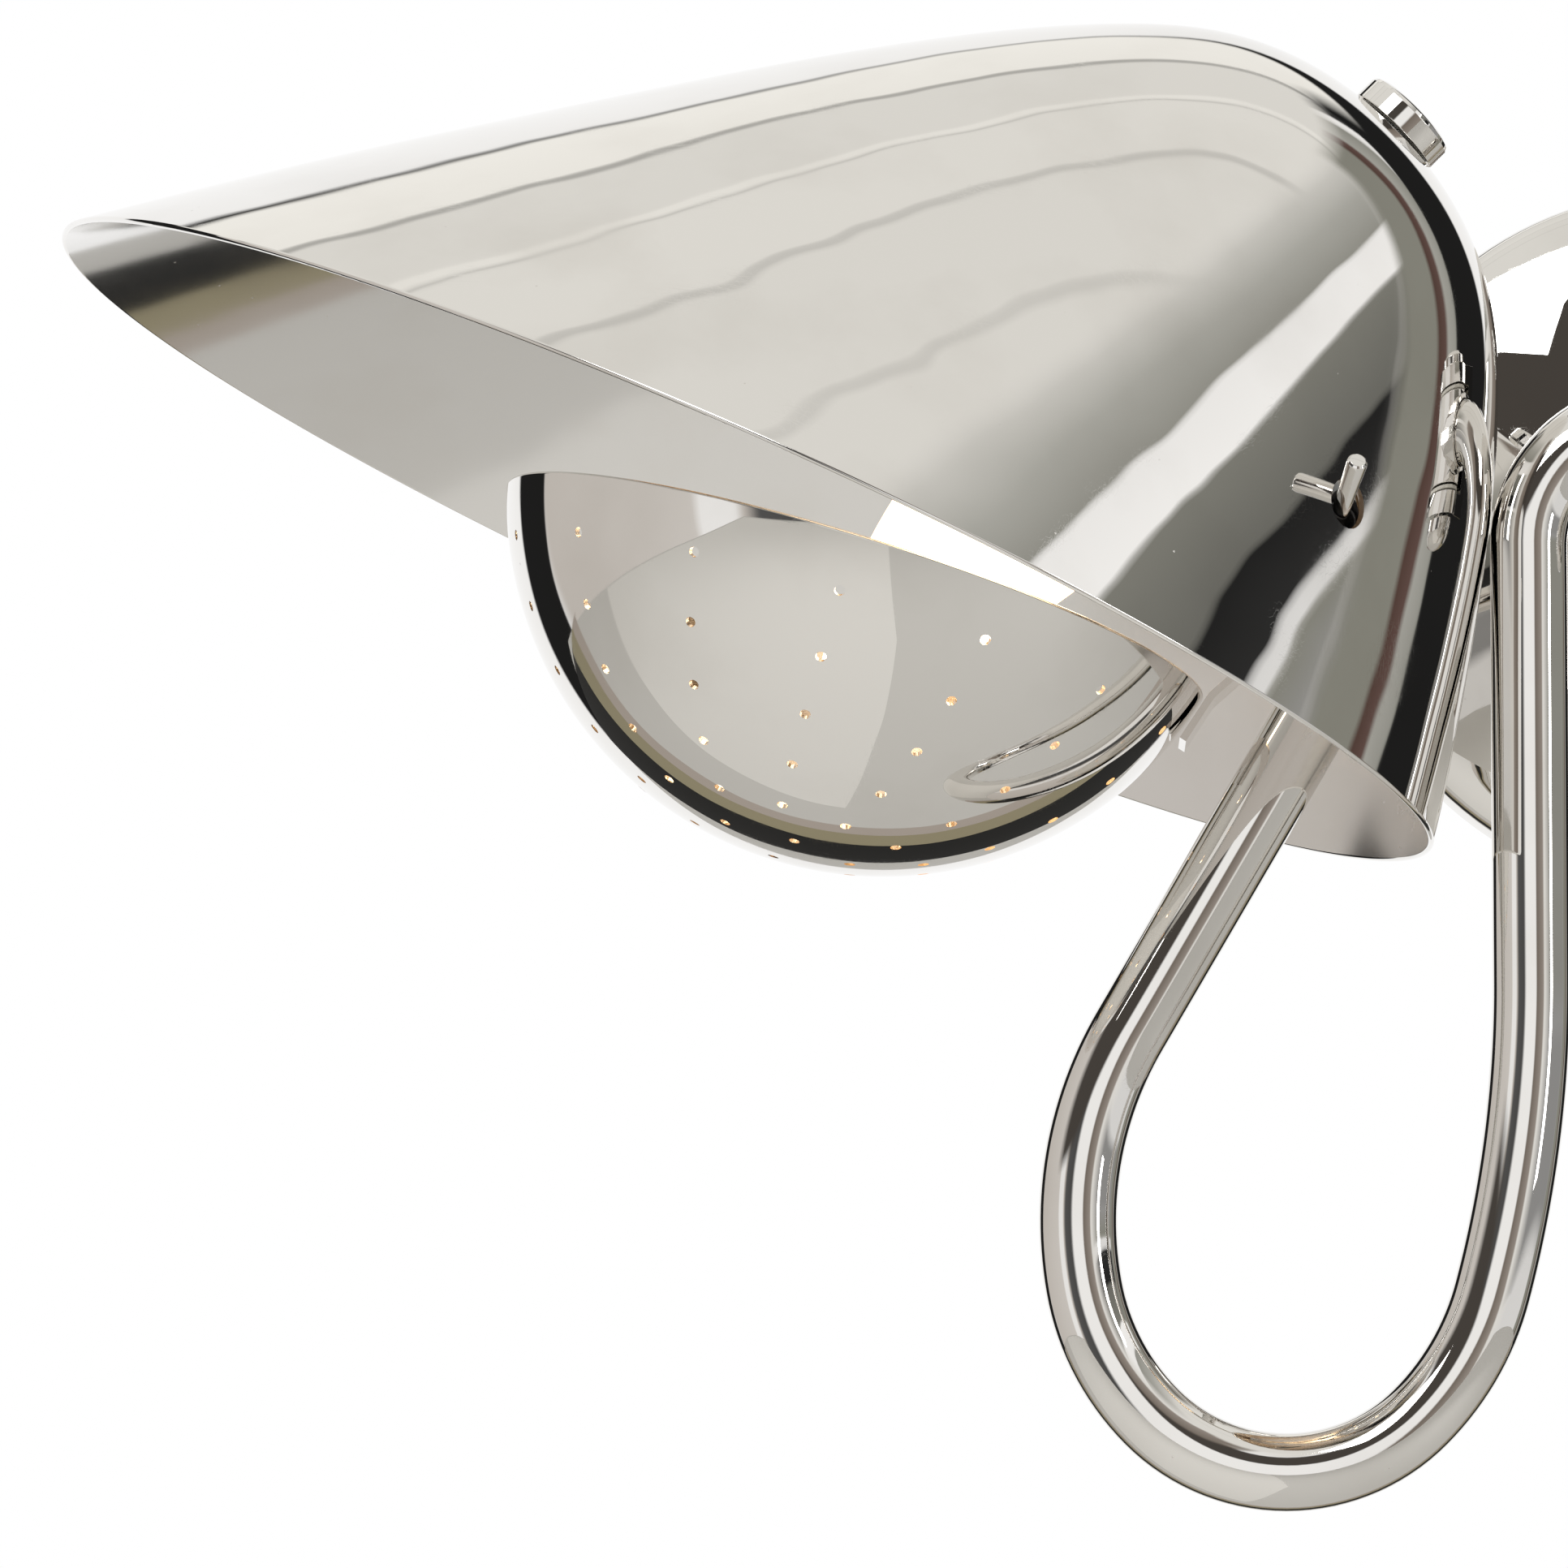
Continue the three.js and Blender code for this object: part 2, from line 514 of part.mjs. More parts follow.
add('bulb_base', inHead(turned([
  [0, 22.9], [2.4, 22.9], [2.4, 24], [6, 25.6], [6, 41], [5.55, 41], [5.55, 26.2], [2, 24.7], [0, 24.7],
])), 'brass');
const bulbSkin = [[5.2, 27], ...smoothProfile([
  [5.2, 41.8], [8.6, 48], [13.8, 57], [17, 70], [17.5, 82], [15.6, 97], [11.4, 112],
  [6.2, 124], [2.6, 130], [0, 131.6],
], 13)];
const bulbLining = shellProfile(bulbSkin, 0.8).inner;
bulbLining[bulbLining.length - 1] = [0, 130.4];
bulbLining[0] = [4.45, 27];
const bulbSection = [...bulbLining].reverse();
add('bulb_glass', inHead(turned([...bulbSection, ...bulbSkin])), 'glass');
add('bulb_stem', inHead(turned([
  [0, 27.2], [4.1, 27.2], [4.1, 29], [2, 40], [1.5, 58], [0, 58.6],
], 16)), 'glass');

const filamentPath = new THREE.CatmullRomCurve3([
  new THREE.Vector3(-2.2, 0, 56), new THREE.Vector3(-3.6, 0, 70), new THREE.Vector3(-3, 0, 84),
  new THREE.Vector3(0, 0, 89), new THREE.Vector3(3, 0, 84), new THREE.Vector3(3.6, 0, 70),
  new THREE.Vector3(2.2, 0, 56),
]);
const wire = new THREE.Shape();
wire.absarc(0, 0, 0.5, 0, 2 * Math.PI);
add('bulb_filament', inHead(solid(new THREE.ExtrudeGeometry(wire, {
  steps: 16, curveSegments: 3, bevelEnabled: false, extrudePath: filamentPath,
}))), 'filament');

// Perforated bowl: a spun cap whose pole is this frame's -Z.
const bowlTilt = new THREE.Matrix4().makeRotationY(BOWL_TURN * Math.PI / 180);
const bowlFrame = bowlTilt.setPosition(BOWL_CENTRE[0], 0, BOWL_CENTRE[1]);
function capArc(radius, steps) {
  const edge = Math.acos((BOWL.r - BOWL.depth) / radius);
  return Array.from({ length: steps + 1 }, (_, i) => {
    const polar = edge * i / steps;
    return [radius * Math.sin(polar), radius * Math.cos(polar)];
  });
}
const cap = [...capArc(BOWL.r, 9), ...capArc(BOWL.r - BOWL.wall, 9).reverse()];
let bowl = turned(cap, BOWL.facets);
const punch = rod(BOWL.holeR, BOWL.r - 3, BOWL.r + 3, 6);
const punches = [punch];
for (const [polar, count] of BOWL_RINGS) {
  for (let i = 0; i < count; i += 1) {
    const aim = new THREE.Matrix4().makeRotationZ(2 * Math.PI * (i + 0.5) / count)
      .multiply(new THREE.Matrix4().makeRotationY(polar * Math.PI / 180));
    punches.push(moved(punch, aim));
  }
}
bowl = bowl.subtract(Manifold.union(punches));
add('perforated_bowl', inHead(moved(bowl, bowlFrame)), 'nickel');

const bowlStrapPath = [
  onBar(strapStart, strapLift),
  onBar(strapLeave, strapLift),
  ...BOWL_STRAP_REACH,
];
const bowlStrap = flatBar(bowlStrapPath, BOWL_STRAP.thick, BOWL_STRAP.width).subtract(strapBore);
add('bowl_strap', inHead(bowlStrap), 'nickel');
add('strap_screw', inHead(moved(turned([
  [0, -2.9], [2.6, -2.9], [3.4, -2], [3.4, -0.9], [1.8, -0.9], [1.8, 7.2], [0, 7.2],
], 16), strapScrewFrame)), 'plainSteel');
add('strap_nut', inHead(moved(hexNut(6.4, 1.8 + FIT_GAP, 3.8, 6.4), strapScrewFrame)), 'plainSteel');

export default group;
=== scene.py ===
"""Swing arm wall sconce: a wall canopy and swivel, a looped tube arm, and a spun hood over a
candle bulb and a perforated bowl. Sizes are in millimetres, and meshes are placed in metres."""
import math

import bpy
import numpy as np
from mathutils import Matrix, Vector


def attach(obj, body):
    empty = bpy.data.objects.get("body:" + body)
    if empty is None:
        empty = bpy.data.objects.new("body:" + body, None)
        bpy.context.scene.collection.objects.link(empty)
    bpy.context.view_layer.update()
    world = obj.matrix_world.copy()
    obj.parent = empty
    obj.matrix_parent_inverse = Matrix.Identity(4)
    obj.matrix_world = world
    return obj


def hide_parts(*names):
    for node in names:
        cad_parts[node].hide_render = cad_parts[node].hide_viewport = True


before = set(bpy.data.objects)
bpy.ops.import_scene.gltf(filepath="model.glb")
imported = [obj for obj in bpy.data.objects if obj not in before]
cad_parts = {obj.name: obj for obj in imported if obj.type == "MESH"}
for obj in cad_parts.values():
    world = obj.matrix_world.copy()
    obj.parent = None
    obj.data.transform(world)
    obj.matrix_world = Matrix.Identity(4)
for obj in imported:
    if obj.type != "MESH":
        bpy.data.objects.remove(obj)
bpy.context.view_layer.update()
scene = bpy.context.scene

# ------------------------------------------------------------------ camera
# A long lens a little below the hood, square to the arm's plane. It sees the head and the
# loop of the arm, and cuts off the swivel and most of the canopy on the right.
ARM_PLANE_Y = -0.130
LOOK_UP = math.radians(8.4)
CAMERA_DISTANCE = 3.0
VIEW_WIDTH = 0.2542
SENSOR = 36.0
look_at = Vector((-0.1526, ARM_PLANE_Y, -0.0598))
look_along = Vector((0, math.cos(LOOK_UP), math.sin(LOOK_UP)))
camera = bpy.data.objects.new("camera", bpy.data.cameras.new("camera"))
scene.collection.objects.link(camera)
camera.location = look_at - look_along * CAMERA_DISTANCE
camera.rotation_euler = look_along.to_track_quat("-Z", "Y").to_euler()
camera.data.sensor_width = SENSOR
camera.data.lens = SENSOR * CAMERA_DISTANCE / VIEW_WIDTH
camera.data.clip_start = 0.1
camera.data.clip_end = 60.0
scene.camera = camera
scene.view_settings.view_transform = "Standard"


# ------------------------------------------------------------------ studio
# A pale floor lies well under the lamp, in a white room. Polished plate shows only what
# stands round it, so the room's walls are hung with light and dark cloth in bands.
def add_node(tree, kind, inputs=None, **settings):
    """A node with its settings, and its sockets set or linked by name or number."""
    made = tree.nodes.new(kind)
    for key, value in settings.items():
        setattr(made, key, value)
    for key, value in (inputs or {}).items():
        if isinstance(value, bpy.types.NodeSocket):
            tree.links.new(value, made.inputs[key])
        else:
            made.inputs[key].default_value = value
    return made


def ramp(tree, factor, stops):
    """A colour ramp with stops of (position, grey or colour)."""
    made = add_node(tree, "ShaderNodeValToRGB", {"Fac": factor})
    bands = made.color_ramp
    while len(bands.elements) < len(stops):
        bands.elements.new(0.5)
    for element, (place, colour) in zip(bands.elements, stops):
        element.position = place
        rgb = (colour,) * 3 if isinstance(colour, (int, float)) else colour
        element.color = (*rgb, 1)
    return made.outputs["Color"]


def painted(name, colour, roughness):
    """A matt material of one colour for the studio, and its shader."""
    material = bpy.data.materials.new(name)
    material.use_nodes = True
    shader = material.node_tree.nodes["Principled BSDF"]
    shader.inputs["Base Color"].default_value = (*colour, 1)
    shader.inputs["Roughness"].default_value = roughness
    return material, shader


FLOOR_Z = -1.4
FLOOR_HALF = 5.0
floor_mesh = bpy.data.meshes.new("floor")
floor_mesh.from_pydata(
    [(x * FLOOR_HALF, y * FLOOR_HALF, FLOOR_Z) for x, y in ((-1, -1), (1, -1), (1, 1), (-1, 1))],
    [],
    [(0, 1, 2, 3)],
)
floor = bpy.data.objects.new("floor", floor_mesh)
scene.collection.objects.link(floor)
paint, paint_shader = painted("floor_paint", (0.74, 0.735, 0.72), 0.7)
tree = paint.node_tree
see_through = add_node(tree, "ShaderNodeBsdfTransparent")
facing = add_node(tree, "ShaderNodeNewGeometry")
from_below = add_node(tree, "ShaderNodeMixShader", {
    0: facing.outputs["Backfacing"],
    1: paint_shader.outputs[0],
    2: see_through.outputs[0],
})
tree.links.new(from_below.outputs[0], tree.nodes["Material Output"].inputs["Surface"])
floor_mesh.materials.append(paint)

# Round the lamp, as (degrees from the front towards +X, brightness).
PALE = (0.85, 0.84, 0.815)
TAN = (0.60, 0.565, 0.53)
UMBER = (0.20, 0.17, 0.145)
OLIVE = (0.27, 0.27, 0.235)
ROOM_BANDS = [
    (-180, 0.95), (-150, 0.85), (-146, 0.07), (-134, 0.06), (-131, 0.85), (-126, TAN),
    (-62, (0.68, 0.65, 0.62)), (-59, 0.95), (-48, 0.95), (-45, TAN), (-40, 0.10), (-23, 0.08),
    (-17, 1.0), (11, 1.0), (14, UMBER), (33, (0.34, 0.30, 0.27)), (36, PALE), (104, PALE),
    (106, OLIVE), (117, OLIVE), (118, (0.10, 0.06, 0.05)), (121, (0.13, 0.08, 0.07)),
    (122, (0.42, 0.42, 0.39)), (130, (0.30, 0.30, 0.27)), (131, 1.0), (134, 1.0), (135, 0.04),
    (140, 0.03), (141, 0.55), (146, 0.5), (149, 1.0), (180, 0.95),
]
# On the right the wall of the room is lit in layers, as (sine of the height, brightness).
RIGHT_SIDE = [(38, 0), (56, 1), (104, 1), (108, 0)]
RIGHT_LAYERS = [
    (-1.0, 0.8), (-0.10, 0.78), (-0.06, 0.30), (0.08, 0.30), (0.10, 0.34), (0.17, OLIVE),
    (0.18, 0.85), (0.20, 0.80), (0.21, 0.03), (0.29, 0.02), (0.30, (0.17, 0.17, 0.155)),
    (0.45, (0.24, 0.24, 0.215)), (0.46, 1.05), (0.56, 1.0), (0.57, (0.34, 0.34, 0.31)),
    (0.66, (0.46, 0.46, 0.43)), (0.79, (0.80, 0.79, 0.76)), (1.0, (0.83, 0.82, 0.79)),
]
# A white sheet hangs behind the lamp, and black cloth frames it, as (cosine from its middle).
BEHIND = (0.0, 0.9893, 0.1461)
SHEET_EDGE = [(-1.0, 0), (0.60, 0), (0.61, 1), (1.0, 1)]
SHEET_TONE = [(-1.0, 0.015), (0.845, 0.015), (0.86, 1.0), (1.0, 1.0)]
# A dark valance hangs over the camera and shades the face of the canopy.
VALANCE = (0.07, 0.062, 0.055, 1)
VALANCE_SIDES = [(-75, 0), (-60, 1), (14, 1), (18, 0)]
VALANCE_DROP = [(0.22, 0), (0.26, 1), (0.60, 1), (0.64, 0)]
# The ceiling comes lower on the left and at the back. It is hung in panels, and their seams
# show as thin lines, as (way back, brightness).
CEILING = (0.83, 0.82, 0.785, 1)
LOW_CEILING = [(0.64, 0), (0.66, 1)]
HIGH_CEILING = [(0.74, 0), (0.80, 1)]
LOW_CEILING_SIDES = [(-1, 1), (20, 0), (140, 0), (150, 1)]
CEILING_SEAMS = [
    (-0.30, 1.0), (-0.27, 1.0), (-0.26, 0.86), (-0.245, 0.86), (-0.235, 1.0), (0.02, 1.0),
    (0.03, 0.80), (0.045, 0.80), (0.055, 1.04), (0.28, 1.04), (0.29, 0.78), (0.30, 1.12),
    (0.32, 1.12), (0.33, 1.0), (0.62, 1.0), (0.64, 0.60), (0.66, 0.60), (0.68, 1.18), (1.0, 1.2),
]


def by_turn(stops):
    """A ramp round the lamp, from stops in degrees."""
    return ramp(tree, part_turn, [((degrees + 180) / 360, c) for degrees, c in stops])


def by_value(value, stops):
    """A ramp over a value from -1 to 1."""
    part = add_node(tree, "ShaderNodeMapRange", {"Value": value, "From Min": -1.0, "From Max": 1.0})
    return ramp(tree, part.outputs[0], [((v + 1) / 2, c) for v, c in stops])


def mixed(factor, low, high, blend="MIX"):
    made = add_node(tree, "ShaderNodeMix", {"Factor": factor, "A": low, "B": high},
                    data_type="RGBA", blend_type=blend)
    return made.outputs["Result"]


world = bpy.data.worlds.new("studio_room")
scene.world = world
world.use_nodes = True
tree = world.node_tree
tree.nodes.clear()
looking = add_node(tree, "ShaderNodeTexCoord").outputs["Generated"]
direction = add_node(tree, "ShaderNodeSeparateXYZ", {0: looking}).outputs
forward = add_node(tree, "ShaderNodeMath", {0: direction["Y"], 1: -1.0}, operation="MULTIPLY")
turn = add_node(tree, "ShaderNodeMath", {
    0: direction["X"],
    1: forward.outputs[0],
}, operation="ARCTAN2")
part_turn = add_node(tree, "ShaderNodeMapRange", {
    "Value": turn.outputs[0], "From Min": -math.pi, "From Max": math.pi,
}).outputs[0]
height = direction["Z"]
walls = mixed(by_turn(RIGHT_SIDE), by_turn(ROOM_BANDS), by_value(height, RIGHT_LAYERS))
to_sheet = add_node(tree, "ShaderNodeVectorMath", {0: looking, 1: BEHIND},
                    operation="DOT_PRODUCT").outputs["Value"]
walls = mixed(by_value(to_sheet, SHEET_EDGE), walls, by_value(to_sheet, SHEET_TONE))
valance = mixed(1.0, by_turn(VALANCE_SIDES), by_value(height, VALANCE_DROP), "MULTIPLY")
walls = mixed(valance, walls, VALANCE)
way_back = add_node(tree, "ShaderNodeMath", {
    0: direction["Y"],
    1: direction["Z"],
}, operation="DIVIDE")
panels = mixed(1.0, CEILING, by_value(way_back.outputs[0], CEILING_SEAMS), "MULTIPLY")
roof = mixed(by_turn(LOW_CEILING_SIDES), by_value(height, HIGH_CEILING),
             by_value(height, LOW_CEILING))
camera_ray = add_node(tree, "ShaderNodeLightPath").outputs["Is Camera Ray"]
background = add_node(tree, "ShaderNodeBackground", {
    "Color": mixed(camera_ray, mixed(roof, walls, panels), (1.0, 1.0, 1.0, 1)), "Strength": 1.0,
})
add_node(tree, "ShaderNodeOutputWorld", {"Surface": background.outputs[0]})


def laid_out(name, corners, cells, colour):
    """A cloth or card on the floor that shows only in the plate."""
    mesh = bpy.data.meshes.new(name)
    mesh.from_pydata(corners, [], cells)
    piece = bpy.data.objects.new(name, mesh)
    scene.collection.objects.link(piece)
    piece.visible_camera = piece.visible_diffuse = piece.visible_shadow = False
    mesh.materials.append(painted(name, colour, 0.9)[0])
    return piece


# The cloth runs on over the floor below the sheet. It draws the dark and khaki lines under
# the bowl and inside the brim, so its strips follow rings of even angle about the sheet.
STRIPS = [                         # name, nearer and farther ring in degrees, and colour
    ("floor_cloth_black", 32, 47, (0.012, 0.012, 0.012)),
    ("floor_cloth_khaki", 47, 54, (0.40, 0.36, 0.24)),
    ("floor_cloth_rose", 54, 59, (0.55, 0.49, 0.45)),
]
STRIP_ROWS = 6
STRIP_ARC = range(-84, 85, 4)      # degrees to either side of straight down
STRIP_LIFT = 0.004
FARTHEST = FLOOR_HALF * 1.3
LEAST_FALL = 0.12                  # a strip that falls less than this would run off the floor
sheet_middle = Vector(BEHIND)
to_right = Vector((1, 0, 0))
straight_down = sheet_middle.cross(to_right)
for name, near, far, colour in STRIPS:
    corners = []
    for row in range(STRIP_ROWS + 1):
        lean = math.radians(near + (far - near) * row / STRIP_ROWS)
        for degrees in STRIP_ARC:
            swing = math.radians(degrees)
            aim = sheet_middle * math.cos(lean)
            aim += (straight_down * math.cos(swing) + to_right * math.sin(swing)) * math.sin(lean)
            reach = min((FLOOR_Z + 0.06) / min(aim.z, -LEAST_FALL), FARTHEST)
            corners.append((aim.x * reach, ARM_PLANE_Y + aim.y * reach, FLOOR_Z + STRIP_LIFT))
    wide = len(STRIP_ARC)
    cells = [
        (k, k + 1, k + 1 + wide, k + wide)
        for row in range(STRIP_ROWS)
        for k in range(row * wide, row * wide + wide - 1)
    ]
    flag = laid_out(name, corners, cells, colour)

# A white card lies on the floor at the lamp's left and lightens that half of the bowl.
CARD = [(-4.9, -4.9), (-0.10, -4.9), (-0.02, -1.2), (-0.30, 0.6), (-4.9, 0.9)]
card_corners = [(x, y, FLOOR_Z + 0.002) for x, y in CARD]
card = laid_out("white_card", card_corners, [tuple(range(len(CARD)))], (0.93, 0.925, 0.91))

# Two soft boxes: a wide one above and in front, and a narrow one to the right.
for name, place, size, power in (
    ("soft_box_front", (-1.2, -2.4, 1.9), (1.6, 1.0), 26),
    ("soft_box_right", (2.4, -1.6, 0.6), (0.35, 1.6), 12),
):
    light = bpy.data.lights.new(name, "AREA")
    light.shape = "RECTANGLE"
    light.size, light.size_y = size
    light.energy = power
    lamp = bpy.data.objects.new(name, light)
    scene.collection.objects.link(lamp)
    lamp.location = place
    aim = look_at - Vector(place)
    lamp.rotation_euler = aim.to_track_quat("-Z", "Y").to_euler()
    lamp.visible_camera = False


# ------------------------------------------------------------------ finishes
# Polished nickel plate on spun and bent brass. The plate is hand buffed, so it has a faint
# ripple, fine wiping scratches, a few dust specks and thin smears.
def new_group(name, inputs, outputs):
    """An empty shader node group with value sockets, and its input and output nodes."""
    group = bpy.data.node_groups.new(name, "ShaderNodeTree")
    for socket, kind, value in inputs:
        made = group.interface.new_socket(socket, in_out="INPUT", socket_type=kind)
        if value is not None:
            made.default_value = value
    for socket in outputs:
        group.interface.new_socket(socket, in_out="OUTPUT", socket_type="NodeSocketFloat")
    return group, group.nodes.new("NodeGroupInput"), group.nodes.new("NodeGroupOutput")


def math_node(tree, operation, *values):
    return add_node(tree, "ShaderNodeMath", dict(enumerate(values)), operation=operation).outputs[0]


def spread(tree, value, low, high, out_low=0.0, out_high=1.0):
    return add_node(tree, "ShaderNodeMapRange", {
        "Value": value, "From Min": low, "From Max": high, "To Min": out_low, "To Max": out_high,
    }).outputs[0]


def noise(tree, vector, scale, detail=2.0):
    made = add_node(tree, "ShaderNodeTexNoise", {
        "Vector": vector, "Scale": scale, "Detail": detail,
    })
    return made.outputs["Fac"]


buffed, given, puts = new_group(
    "buffed_marks",
    [("Vector", "NodeSocketVector", None), ("Ripple", "NodeSocketFloat", 1.0),
     ("Scratches", "NodeSocketFloat", 1.0)],
    ["Tone", "Roughness", "Height"],
)
RIPPLE_SCALE = 24.0                # waves per metre in the spun wall
SMEAR_SCALE = 38.0
SPECK_SCALE = 240.0
# Three lays of wiping scratches, each drawn out along one way.
SCRATCH_STRETCH = ((1400, 40, 700), (60, 1300, 500), (700, 500, 30))
vector = given.outputs["Vector"]
ripple = noise(buffed, vector, RIPPLE_SCALE, 1.5)
smear = spread(buffed, noise(buffed, vector, SMEAR_SCALE, 5.0), 0.48, 0.72)
scratches = 0.0
for turn_by, stretch in enumerate(SCRATCH_STRETCH):
    laid = add_node(buffed, "ShaderNodeMapping", {
        "Vector": vector, "Rotation": (0.4 * turn_by, 0.3, 0.9 * turn_by), "Scale": stretch,
    })
    line = math_node(buffed, "ABSOLUTE", math_node(
        buffed, "SUBTRACT", noise(buffed, laid.outputs[0], 1.0, 1.0), 0.5,
    ))
    scratches = math_node(buffed, "ADD", spread(buffed, line, 0.0, 0.008, 1.0, 0.0), scratches)
patchy = spread(buffed, noise(buffed, vector, 60.0, 3.0), 0.5, 0.65)
scratches = math_node(buffed, "MULTIPLY", scratches, patchy)
speck = add_node(buffed, "ShaderNodeTexVoronoi", {"Vector": vector, "Scale": SPECK_SCALE})
dust = spread(buffed, speck.outputs["Distance"], 0.03, 0.06, 1.0, 0.0)
rare = spread(buffed, noise(buffed, vector, 90.0, 0.0), 0.66, 0.68)
dust = math_node(buffed, "MULTIPLY", dust, rare)
marks = math_node(buffed, "MULTIPLY", scratches, given.outputs["Scratches"])
rough = math_node(buffed, "ADD", math_node(buffed, "MULTIPLY", smear, 0.05),
                  math_node(buffed, "MULTIPLY", marks, 0.03))
rough = math_node(buffed, "ADD", rough, math_node(buffed, "MULTIPLY", dust, 0.4))
buffed.links.new(rough, puts.inputs["Roughness"])
tone = math_node(buffed, "ADD", math_node(buffed, "MULTIPLY", smear, 0.5), dust)
buffed.links.new(tone, puts.inputs["Tone"])
waves = math_node(buffed, "MULTIPLY", ripple, given.outputs["Ripple"])
raised = math_node(buffed, "ADD", waves, math_node(buffed, "MULTIPLY", marks, -0.0004))
buffed.links.new(raised, puts.inputs["Height"])


def distance(tree, vector, place):
    made = add_node(tree, "ShaderNodeVectorMath", {0: vector, 1: place}, operation="DISTANCE")
    return made.outputs["Value"]


def plated(name, colour, dull_colour, roughness, ripple=1.0, scratches=1.0, dull_end=None,
           painted_lamp_glow=None):
    """A metal finish: two tones of the metal, its polish, and how rippled and marked it is.
    Round a dull end, (place, near, far, roughness), the polish falls off. Round a lamp,
    (place, near, far, colour, strength), a painted glow of its colour is added as emission, full at
    near and gone at far."""
    material = bpy.data.materials.new(name)
    material.use_nodes = True
    tree = material.node_tree
    shader = tree.nodes["Principled BSDF"]
    shader.inputs["Metallic"].default_value = 1.0
    place = add_node(tree, "ShaderNodeTexCoord").outputs["Object"]
    wear = tree.nodes.new("ShaderNodeGroup")
    wear.node_tree = buffed
    tree.links.new(place, wear.inputs["Vector"])
    wear.inputs["Ripple"].default_value = ripple
    wear.inputs["Scratches"].default_value = scratches
    tint = add_node(tree, "ShaderNodeMix", {
        "Factor": wear.outputs["Tone"], "A": (*colour, 1), "B": (*dull_colour, 1),
    }, data_type="RGBA")
    tree.links.new(tint.outputs["Result"], shader.inputs["Base Color"])
    polish = roughness
    if dull_end:
        end, near, far, rough = dull_end
        polish = spread(tree, distance(tree, place, end), near, far, rough, roughness)
    tree.links.new(math_node(tree, "ADD", wear.outputs["Roughness"], polish),
                   shader.inputs["Roughness"])
    # Painted light: an emission glow near the lamp stands in for the lamp's light falling on the
    # metal.
    if painted_lamp_glow:
        lamp_at, near, far, colour, strength = painted_lamp_glow
        painted_glow_mask = spread(tree, distance(tree, place, lamp_at), near, far, 1.0, 0.0)
        painted_glow_stops = [(0.0, 0.0), (0.5, [0.25 * c for c in colour]), (1.0, colour)]
        tree.links.new(ramp(tree, painted_glow_mask, painted_glow_stops), shader.inputs["Emission Color"])
        shader.inputs["Emission Strength"].default_value = strength
    bump = add_node(tree, "ShaderNodeBump", {
        "Strength": 1.0, "Distance": 0.001, "Height": wear.outputs["Height"],
    })
    tree.links.new(bump.outputs[0], shader.inputs["Normal"])
    return material


NICKEL = (0.815, 0.795, 0.765)
NICKEL_DULL = (0.72, 0.695, 0.66)
nickel = plated("polished_nickel", NICKEL, NICKEL_DULL, 0.008, ripple=0.55)
nickel_tube = plated("polished_nickel_tube", NICKEL, NICKEL_DULL, 0.015, ripple=0.10)
CROWN_END = (-0.07, ARM_PLANE_Y, 0.02)
BULB_MIDDLE = (-0.115, ARM_PLANE_Y, -0.014)
NICKEL_LINING = (0.78, 0.765, 0.745)
# The lining of the hood and the bowl carries a painted warm glow round the bulb: emission that
# stands in for the bulb's light on the metal.
nickel_lining_painted_glow = plated("satin_nickel_lining_painted_glow", NICKEL_LINING, NICKEL_DULL, 0.11, ripple=0.5,
                       scratches=0.6, dull_end=(CROWN_END, 0.085, 0.11, 0.26),
                       painted_lamp_glow=(BULB_MIDDLE, 0.052, 0.084, (1.0, 0.50, 0.17), 0.55))
ZINC = (0.56, 0.57, 0.57)
ZINC_DULL = (0.42, 0.42, 0.41)
zinc = plated("zinc_plated_steel", ZINC, ZINC_DULL, 0.27, ripple=0.2)
BRASS = (0.72, 0.55, 0.27)
BRASS_DULL = (0.45, 0.32, 0.15)
brass = plated("plain_brass", BRASS, BRASS_DULL, 0.2, ripple=0.2)


# ------------------------------------------------------------------ canopy
# The canopy is a spun dish with a turned-down edge. It covers the outlet box and is held by
# two cap nuts on studs from a crossbar.
def frame_at(origin, along, across):
    """A frame with +Z along one direction and +X as near the other as it can be."""
    z = Vector(along).normalized()
    y = z.cross(Vector(across)).normalized()
    x = y.cross(z)
    turn = Matrix((x, y, z)).transposed().to_4x4()
    return Matrix.Translation(Vector(origin)) @ turn


MM = 0.001
ARM_PLANE = ARM_PLANE_Y * 1000     # the arm's plane in millimetres


def mesh_from(name, points, faces, normals, place, material_of_face=None):
    """A mesh in metres from millimetre points in a frame, with a normal for each face corner."""
    mesh = bpy.data.meshes.new(name)
    mesh.from_pydata([(place @ Vector(p)) * MM for p in points], [], faces)
    mesh.polygons.foreach_set("use_smooth", [True] * len(mesh.polygons))
    if material_of_face:
        mesh.polygons.foreach_set("material_index", material_of_face)
    turn = place.to_3x3()
    mesh.normals_split_custom_set([turn @ Vector(n) for n in normals])
    return mesh


def fit(name, mesh, materials, body, *nodes):
    """Links a piece, gives it its finish, and puts it on its body in place of its CAD nodes."""
    piece = bpy.data.objects.new(name, mesh)
    scene.collection.objects.link(piece)
    for material in materials:
        mesh.materials.append(material)
    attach(piece, body)
    if nodes:
        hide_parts(*nodes)
    return piece


FAIR_BEND = math.radians(25)
CORNER_STEPS = 4


